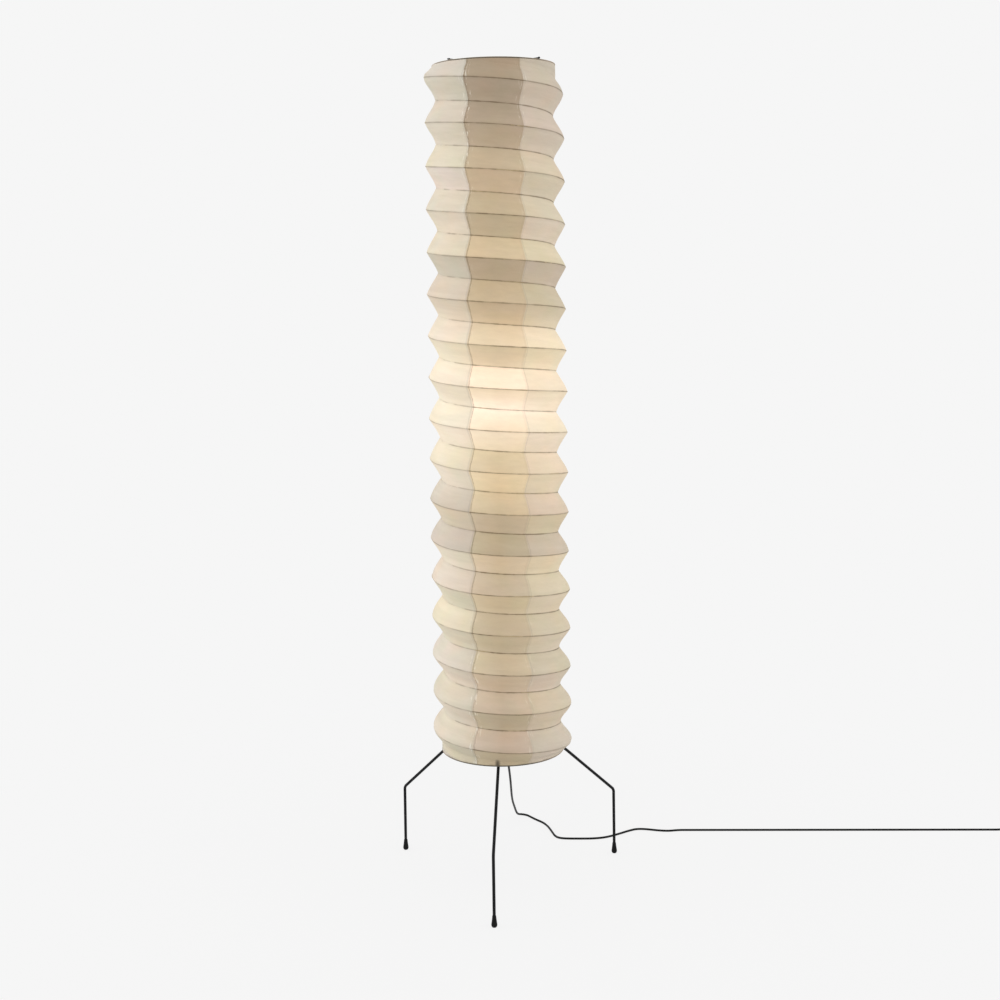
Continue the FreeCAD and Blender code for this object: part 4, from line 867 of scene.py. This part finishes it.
def dress(material, *nodes):
    """A frame node takes a finish in every material slot."""
    for name in nodes:
        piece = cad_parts[name]
        if not piece.material_slots:
            piece.data.materials.append(material)
        for slot in piece.material_slots:
            slot.material = material


def coat(piece, *materials):
    """A new piece takes these finishes, one for each material slot."""
    for material in materials:
        piece.data.materials.append(material)
    return piece


# ---------------------------------------------------------------- operators


class LANTERN_OT_paper(bpy.types.Operator):
    """Make the pleated paper tube and the pasted hems round both hoops."""

    bl_idname = "lantern.paper"
    bl_label = "Paper shade"
    bl_options = {"REGISTER", "UNDO"}

    def execute(self, context):
        k = kit()
        outer, inner = paper_finish("lit_paper", False), paper_finish("lit_paper_inside", True)
        tube = coat(paper_tube(), outer, inner)
        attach(tube, "stand")
        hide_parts("paper_shade")
        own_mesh(tube)
        # each hem is an oval of rolled paper round its hoop, a little nearer the axis than the rim
        hem = hem_finish()
        around = np.linspace(0, TURN, 14, endpoint=False)
        radius = k.rim - 0.0016 + k.hem * np.cos(around)
        rise = 0.9 * k.hem * np.sin(around)
        for name, height, body in (
            ("top_hem", k.top - 0.0018, "stand"),
            ("bottom_hem", k.bottom - 0.0010, "bottom_hoop_body"),
        ):
            profile = np.stack([radius, height + rise], -1)
            roll = coat(turned_piece(name, profile, AXIS, 160), hem)
            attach(roll, body)
        return {"FINISHED"}


class LANTERN_OT_bamboo(bpy.types.Operator):
    """Make the two split-bamboo ribs."""

    bl_idname = "lantern.bamboo"
    bl_label = "Bamboo ribs"
    bl_options = {"REGISTER", "UNDO"}

    def execute(self, context):
        finish = bamboo_finish()
        for name, node, half in (
            ("ridge_bamboo", "ridge_rib", 0.0),
            ("valley_bamboo", "valley_rib", 0.5),
        ):
            rib = coat(bamboo_piece(name, half), finish)
            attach(rib, "stand")
            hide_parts(node)
            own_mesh(rib)
        return {"FINISHED"}


class LANTERN_OT_wire(bpy.types.Operator):
    """Finish the hoops and the top cross, and cap the cross's ends."""

    bl_idname = "lantern.wire"
    bl_label = "Hoops and top cross"
    bl_options = {"REGISTER", "UNDO"}

    def execute(self, context):
        paint = once("black_paint", paint_finish, hard().rod, ROD_ROUGHNESS)
        arms = [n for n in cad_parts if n.startswith("cross_arm")]
        dress(paint, "top_hoop", "bottom_hoop", *arms)
        steel = once("turned_steel", steel_finish)
        dress(steel, "cross_boss", "top_nut", "top_stud")
        rubber = once("moulded_rubber", rubber_finish)
        lean = np.linspace(-math.pi / 2, math.pi / 2, 11)
        profile = np.stack([CAP_RADIUS * np.cos(lean), CAP_RISE * np.sin(lean)], -1)
        for k, reach in enumerate(ARM_REACH):
            middle = AXIS + toward(math.radians(50 + 90 * k)) * reach + UP * ARM_HEIGHT
            cap = coat(turned_piece(f"arm_cap_{k}", profile, middle, 20), rubber)
            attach(cap, "stand")
        return {"FINISHED"}


class LANTERN_OT_tripod(bpy.types.Operator):
    """Finish the legs, boots, pegs and hub."""

    bl_idname = "lantern.tripod"
    bl_label = "Tripod"
    bl_options = {"REGISTER", "UNDO"}

    def execute(self, context):
        paint = once("black_paint", paint_finish, hard().rod, ROD_ROUGHNESS)
        rubber = once("moulded_rubber", rubber_finish)
        for side in ("front", "right", "left"):
            dress(paint, f"leg_{side}", f"hoop_peg_{side}")
            dress(rubber, f"boot_{side}")
        dress(rubber, "lead_gland")
        dress(once("turned_steel", steel_finish), "leg_hub", "pole_set_screw")
        return {"FINISHED"}


class LANTERN_OT_pole(bpy.types.Operator):
    """Finish the pole, its bracket and the clips on it."""

    bl_idname = "lantern.pole"
    bl_label = "Pole and bracket"
    bl_options = {"REGISTER", "UNDO"}

    def execute(self, context):
        dress(once("pole_paint", paint_finish, hard().rod, 0.36), "lower_pole", "upper_pole")
        steel = once("turned_steel", steel_finish)
        dress(steel, "pole_joint_pin", "bracket_collar", "clamp_screw", "bracket_bar")
        dress(steel, "holder_nipple", "nipple_nuts")
        dress(once("clip_plastic", plastic_finish, hard().plastic, 0.4), "lead_clips")
        return {"FINISHED"}


class LANTERN_OT_bulb(bpy.types.Operator):
    """Finish the lampholder and the lit bulb."""

    bl_idname = "lantern.bulb"
    bl_label = "Lampholder and bulb"
    bl_options = {"REGISTER", "UNDO"}

    def execute(self, context):
        black = once("holder_plastic", plastic_finish, hard().plastic, 0.36)
        dress(black, "holder_cap", "holder_barrel")
        dress(ceramic_finish(), "holder_insert", "bulb_insulator")
        dress(brass_finish(), "screw_shell", "centre_contact", "bulb_base", "bulb_tip")
        dress(lit_glass_finish("lit_opal_glass", 1.05), "bulb_glass")
        dress(lit_glass_finish("lit_stem", 1.0), "bulb_stem", "bulb_filament")
        return {"FINISHED"}


def lead_route():
    """The lead's points from the gland to the switch, round the lamp's axis. It hangs down behind
    the front leg and lies on the floor from there, all in millimetres, and rises into the
    switch."""
    hanging = [
        (7.448, -4.3, 379), (7.448, -4.3, 343), (7.6, 4, 302), (10, 27, 260), (10, 66, 222),
        (8, 116, 185), (5, 168, 150), (2, 222, 115), (0, 278, 81), (1, 334, 46), (2, 372, 21),
        (5, 391, 9), (14, 405, 4),
    ]
    lying = [
        (28, 403), (40, 387), (55, 368), (73, 349), (86, 325), (95, 299), (103, 272), (110, 250),
        (121, 238), (140, 235), (172, 236), (208, 238), (240, 248), (270, 272), (297, 297),
        (318, 312), (343, 311), (371, 303), (400, 300), (424, 308), (450, 309.2),
    ]
    points = np.array(hanging + [(x, y, 2.7) for x, y in lying]) / 1000
    end = SWITCH - HALF_SWITCH * ALONG
    down = 0.0058 * UP
    rise = [end - 0.078 * ALONG - down, end - 0.052 * ALONG - down, end - 0.026 * ALONG, end]
    return np.concatenate([points, rise]) + AXIS


def coil_route(lead):
    """From the switch into the coil, round it and on to the plug. The coil's radius falls by the
    step for each turn to its middle and grows again on top, where it is a step higher. It climbs
    by a cosine in the middle half turn. The radius is a little larger than the coil's, because
    the spline cuts inside its points."""
    out = SWITCH + HALF_SWITCH * ALONG
    turns = lead.coil_turns
    t = np.linspace(0, turns, int(COIL_POINTS * turns) + 1)
    radius = lead.coil_radius - lead.coil_step * np.minimum(t, turns - t)
    radius = radius / math.cos(math.pi / COIL_POINTS) ** 0.5
    climb = np.clip(2 * (t - turns / 2) + 0.5, 0, 1)
    height = 0.0037 + lead.coil_step * (1 - np.cos(np.pi * climb)) / 2
    a = np.pi / 2 - 2 * np.pi * t
    x, y = COIL_MIDDLE
    wound = np.stack([x + radius * np.cos(a), y + radius * np.sin(a), height], -1)
    first, last = wound[0], wound[-1]
    into = [out, out + 0.018 * ALONG, first - [0.0215, 0, 0], first - [0.0090, 0, 0]]
    plug = np.array([last[0], 0.254, 0.00685])
    down = np.array([last[0] - 0.001, (last[1] - 0.0045 + plug[1]) / 2, plug[2] - 0.0012])
    tail = [last - [0, 0.0090, 0], last - [0, 0.0165, 0], down, plug + [0, 0.012, 0], plug]
    return np.concatenate([into, wound, tail]) + AXIS


def lead_curve(name, points, radius):
    """A round flex on one smooth spline with those points as its controls."""
    curve = bpy.data.curves.new(name, "CURVE")
    curve.dimensions = "3D"
    curve.bevel_depth = radius
    curve.bevel_resolution = 4
    curve.resolution_u = 8
    curve.use_fill_caps = True
    spline = curve.splines.new("NURBS")
    spline.points.add(len(points) - 1)
    spline.points.foreach_set("co", np.column_stack([points, np.ones(len(points))]).ravel())
    spline.order_u = 3
    spline.use_endpoint_u = True
    piece = bpy.data.objects.new(name, curve)
    bpy.context.collection.objects.link(piece)
    return piece


class LANTERN_OT_lead(bpy.types.Operator):
    """Lay the lead: from the gland to the foot switch, and from there into its coil and plug."""

    bl_idname = "lantern.lead"
    bl_label = "Lead"
    bl_options = {"REGISTER", "UNDO"}

    def execute(self, context):
        lead = context.scene.lantern_lead
        flex = flex_finish()
        dress(flex, "lead_inside")
        run, rest = lead_route(), coil_route(lead)
        first = coat(lead_curve("lead_run", run, lead.radius), flex)
        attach(first, "stand")
        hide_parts("lead_to_switch")
        second = coat(lead_curve("lead_rest", rest, lead.radius), flex)
        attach(second, "stand")
        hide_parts("lead_to_coil", "lead_coil", "lead_tail")
        return {"FINISHED"}


class LANTERN_OT_switch(bpy.types.Operator):
    """Finish the foot switch, the coil's tie and the plug."""

    bl_idname = "lantern.switch"
    bl_label = "Switch and plug"
    bl_options = {"REGISTER", "UNDO"}

    def execute(self, context):
        body = once("switch_plastic", plastic_finish, hard().plastic, 0.38)
        dress(body, "switch_base", "switch_cover", "switch_works", "plug_body", "coil_tie")
        button = once("button_plastic", plastic_finish, (0.03, 0.03, 0.03), 0.2)
        dress(button, "switch_button")
        dress(chrome_finish(), "plug_pins")
        return {"FINISHED"}


class LANTERN_OT_stage(bpy.types.Operator):
    """Set the camera, the floor, the backdrop and the lamps."""

    bl_idname = "lantern.stage"
    bl_label = "Stage"
    bl_options = {"REGISTER", "UNDO"}

    def execute(self, context):
        scene = context.scene
        stage = scene.lantern_stage
        camera_piece(scene, stage)
        pale_floor(stage)
        pale_world(scene, stage)
        window_piece(scene, "left_window", -80, 6, stage.left)
        window_piece(scene, "right_window", 80, 6, stage.right)
        window_piece(scene, "front_soft", -6, 12, stage.front)
        scene.view_settings.view_transform = "Standard"
        return {"FINISHED"}


def window_piece(scene, name, azimuth, elevation, watts):
    """A large soft lamp that faces the middle of the shade, at an azimuth and elevation in
    degrees: along the way by the elevation's cosine and up by its sine."""
    away, middle, turn, lift = 4.2, 1.05, math.radians(azimuth), math.radians(elevation)
    lamp = bpy.data.lights.new(name, "AREA")
    lamp.shape = "RECTANGLE"
    lamp.size, lamp.size_y = 2.2, 2.6
    lamp.energy = watts
    piece = bpy.data.objects.new(name, lamp)
    spot = AXIS + toward(turn) * away * math.cos(lift)
    piece.location = spot + UP * (middle + away * math.sin(lift))
    piece.rotation_euler = (math.pi / 2 - lift, 0, turn)
    scene.collection.objects.link(piece)


def camera_piece(scene, stage):
    """The camera stands at its azimuth and distance, tilted down and rolled clockwise. The shift
    only places the lamp in the frame as the photograph does."""
    data = bpy.data.cameras.new("camera")
    data.lens = stage.lens
    data.sensor_width = 36.0
    data.shift_x = 0.0027
    data.shift_y = -0.1566
    camera = bpy.data.objects.new("camera", data)
    spot = AXIS + toward(stage.azimuth) * stage.distance + UP * stage.eye
    level = Matrix.Rotation(math.pi / 2 - stage.tilt, 4, "X")
    turn = Matrix.Rotation(stage.azimuth, 4, "Z")
    roll = Matrix.Rotation(-stage.roll, 4, "Z")
    camera.matrix_world = Matrix.Translation(spot.tolist()) @ turn @ level @ roll
    scene.collection.objects.link(camera)
    scene.camera = camera


def seen_directly(tree):
    """1 for rays that show a thing as itself: from the camera, a reflection or through glass."""
    path = tree.nodes.new("ShaderNodeLightPath")
    total = path.outputs["Is Camera Ray"]
    for name in ("Is Glossy Ray", "Is Transmission Ray"):
        node = tree.nodes.new("ShaderNodeMath")
        node.operation = "MAXIMUM"
        tree.links.new(total, node.inputs[0])
        tree.links.new(path.outputs[name], node.inputs[1])
        total = node.outputs[0]
    return total


def pale_floor(stage):
    """A round floor. The camera sees plain backdrop colour, with a tenth of lit floor near the
    lamp for its shadow. The light that it throws back is that of a greyer floor."""
    rings = np.array([0.001, 0.5, 1.0, 2.0, 4.0, 12.0, 60.0])
    around = np.linspace(0, TURN, 96, endpoint=False)
    spots = toward(around)[None] * rings[:, None, None] + AXIS
    faces = grid_faces(len(rings), len(around), False, True)
    floor = mesh_piece("floor", spots, faces[..., ::-1])
    f = Finish("pale_floor")
    seen = seen_directly(f.tree)
    away = f.vector("LENGTH", f.vector("MULTIPLY", f.place, (1.0, 1.0, 0.0)))
    plain = f.times(seen, f.between(away, 0.5, 1.6, 0.90, 1.0))
    colour = f.blend(seen, (0.60, 0.60, 0.60), stage.pale)
    lit = f.add("ShaderNodeBsdfDiffuse", {"Color": colour}).outputs[0]
    own = f.add("ShaderNodeEmission", {"Color": stage.pale, "Strength": 1.0}).outputs[0]
    both = f.add("ShaderNodeMixShader", {0: plain, 1: lit, 2: own}).outputs[0]
    f.add("ShaderNodeOutputMaterial", {"Surface": both})
    coat(floor, f.made)


def pale_world(scene, stage):
    """The backdrop's colour where it is seen, and soft light everywhere else."""
    world = bpy.data.worlds.new("pale")
    world.use_nodes = True
    tree = world.node_tree
    tree.nodes.clear()
    seen = tree.nodes.new("ShaderNodeBackground")
    seen.inputs[0].default_value = (*stage.pale, 1.0)
    even = tree.nodes.new("ShaderNodeBackground")
    even.inputs[0].default_value = (1.0, 1.0, 1.0, 1.0)
    even.inputs[1].default_value = stage.ambient
    mix = tree.nodes.new("ShaderNodeMixShader")
    out = tree.nodes.new("ShaderNodeOutputWorld")
    tree.links.new(seen_directly(tree), mix.inputs[0])
    tree.links.new(even.outputs[0], mix.inputs[1])
    tree.links.new(seen.outputs[0], mix.inputs[2])
    tree.links.new(mix.outputs[0], out.inputs[0])
    scene.world = world


class LANTERN_PT_sidebar(bpy.types.Panel):
    """Buttons for every piece, in order."""

    bl_label = "Paper Lantern"
    bl_space_type = "VIEW_3D"
    bl_region_type = "UI"
    bl_category = "Lantern"

    def draw(self, context):
        for maker in MAKERS:
            self.layout.operator(maker.bl_idname)
        for name in GROUPS:
            group = getattr(context.scene, name)
            box = self.layout.box()
            for key in group.bl_rna.properties.keys():
                if key not in ("rna_type", "name"):
                    box.prop(group, key)


GROUPS = {
    "lantern_shade": LanternShadeSizes,
    "lantern_paper": LanternPaperLook,
    "lantern_hard": LanternHardLook,
    "lantern_lead": LanternLeadSizes,
    "lantern_stage": LanternStage,
}
MAKERS = (
    LANTERN_OT_stage,
    LANTERN_OT_lead,
    LANTERN_OT_paper,
    LANTERN_OT_bamboo,
    LANTERN_OT_wire,
    LANTERN_OT_tripod,
    LANTERN_OT_pole,
    LANTERN_OT_bulb,
    LANTERN_OT_switch,
)


def register():
    """Add the settings, the operators and the panel."""
    for name, group in GROUPS.items():
        bpy.utils.register_class(group)
        setattr(bpy.types.Scene, name, bpy.props.PointerProperty(type=group))
    for maker in (*MAKERS, LANTERN_PT_sidebar):
        bpy.utils.register_class(maker)


def unregister():
    """Take them out again, the last one first."""
    for maker in (LANTERN_PT_sidebar, *reversed(MAKERS)):
        bpy.utils.unregister_class(maker)
    for name, group in reversed(GROUPS.items()):
        delattr(bpy.types.Scene, name)
        bpy.utils.unregister_class(group)


def main():
    """Make every piece."""
    register()
    for maker in MAKERS:
        group, name = maker.bl_idname.split(".")
        getattr(getattr(bpy.ops, group), name)()


if __name__ == "__main__":
    main()
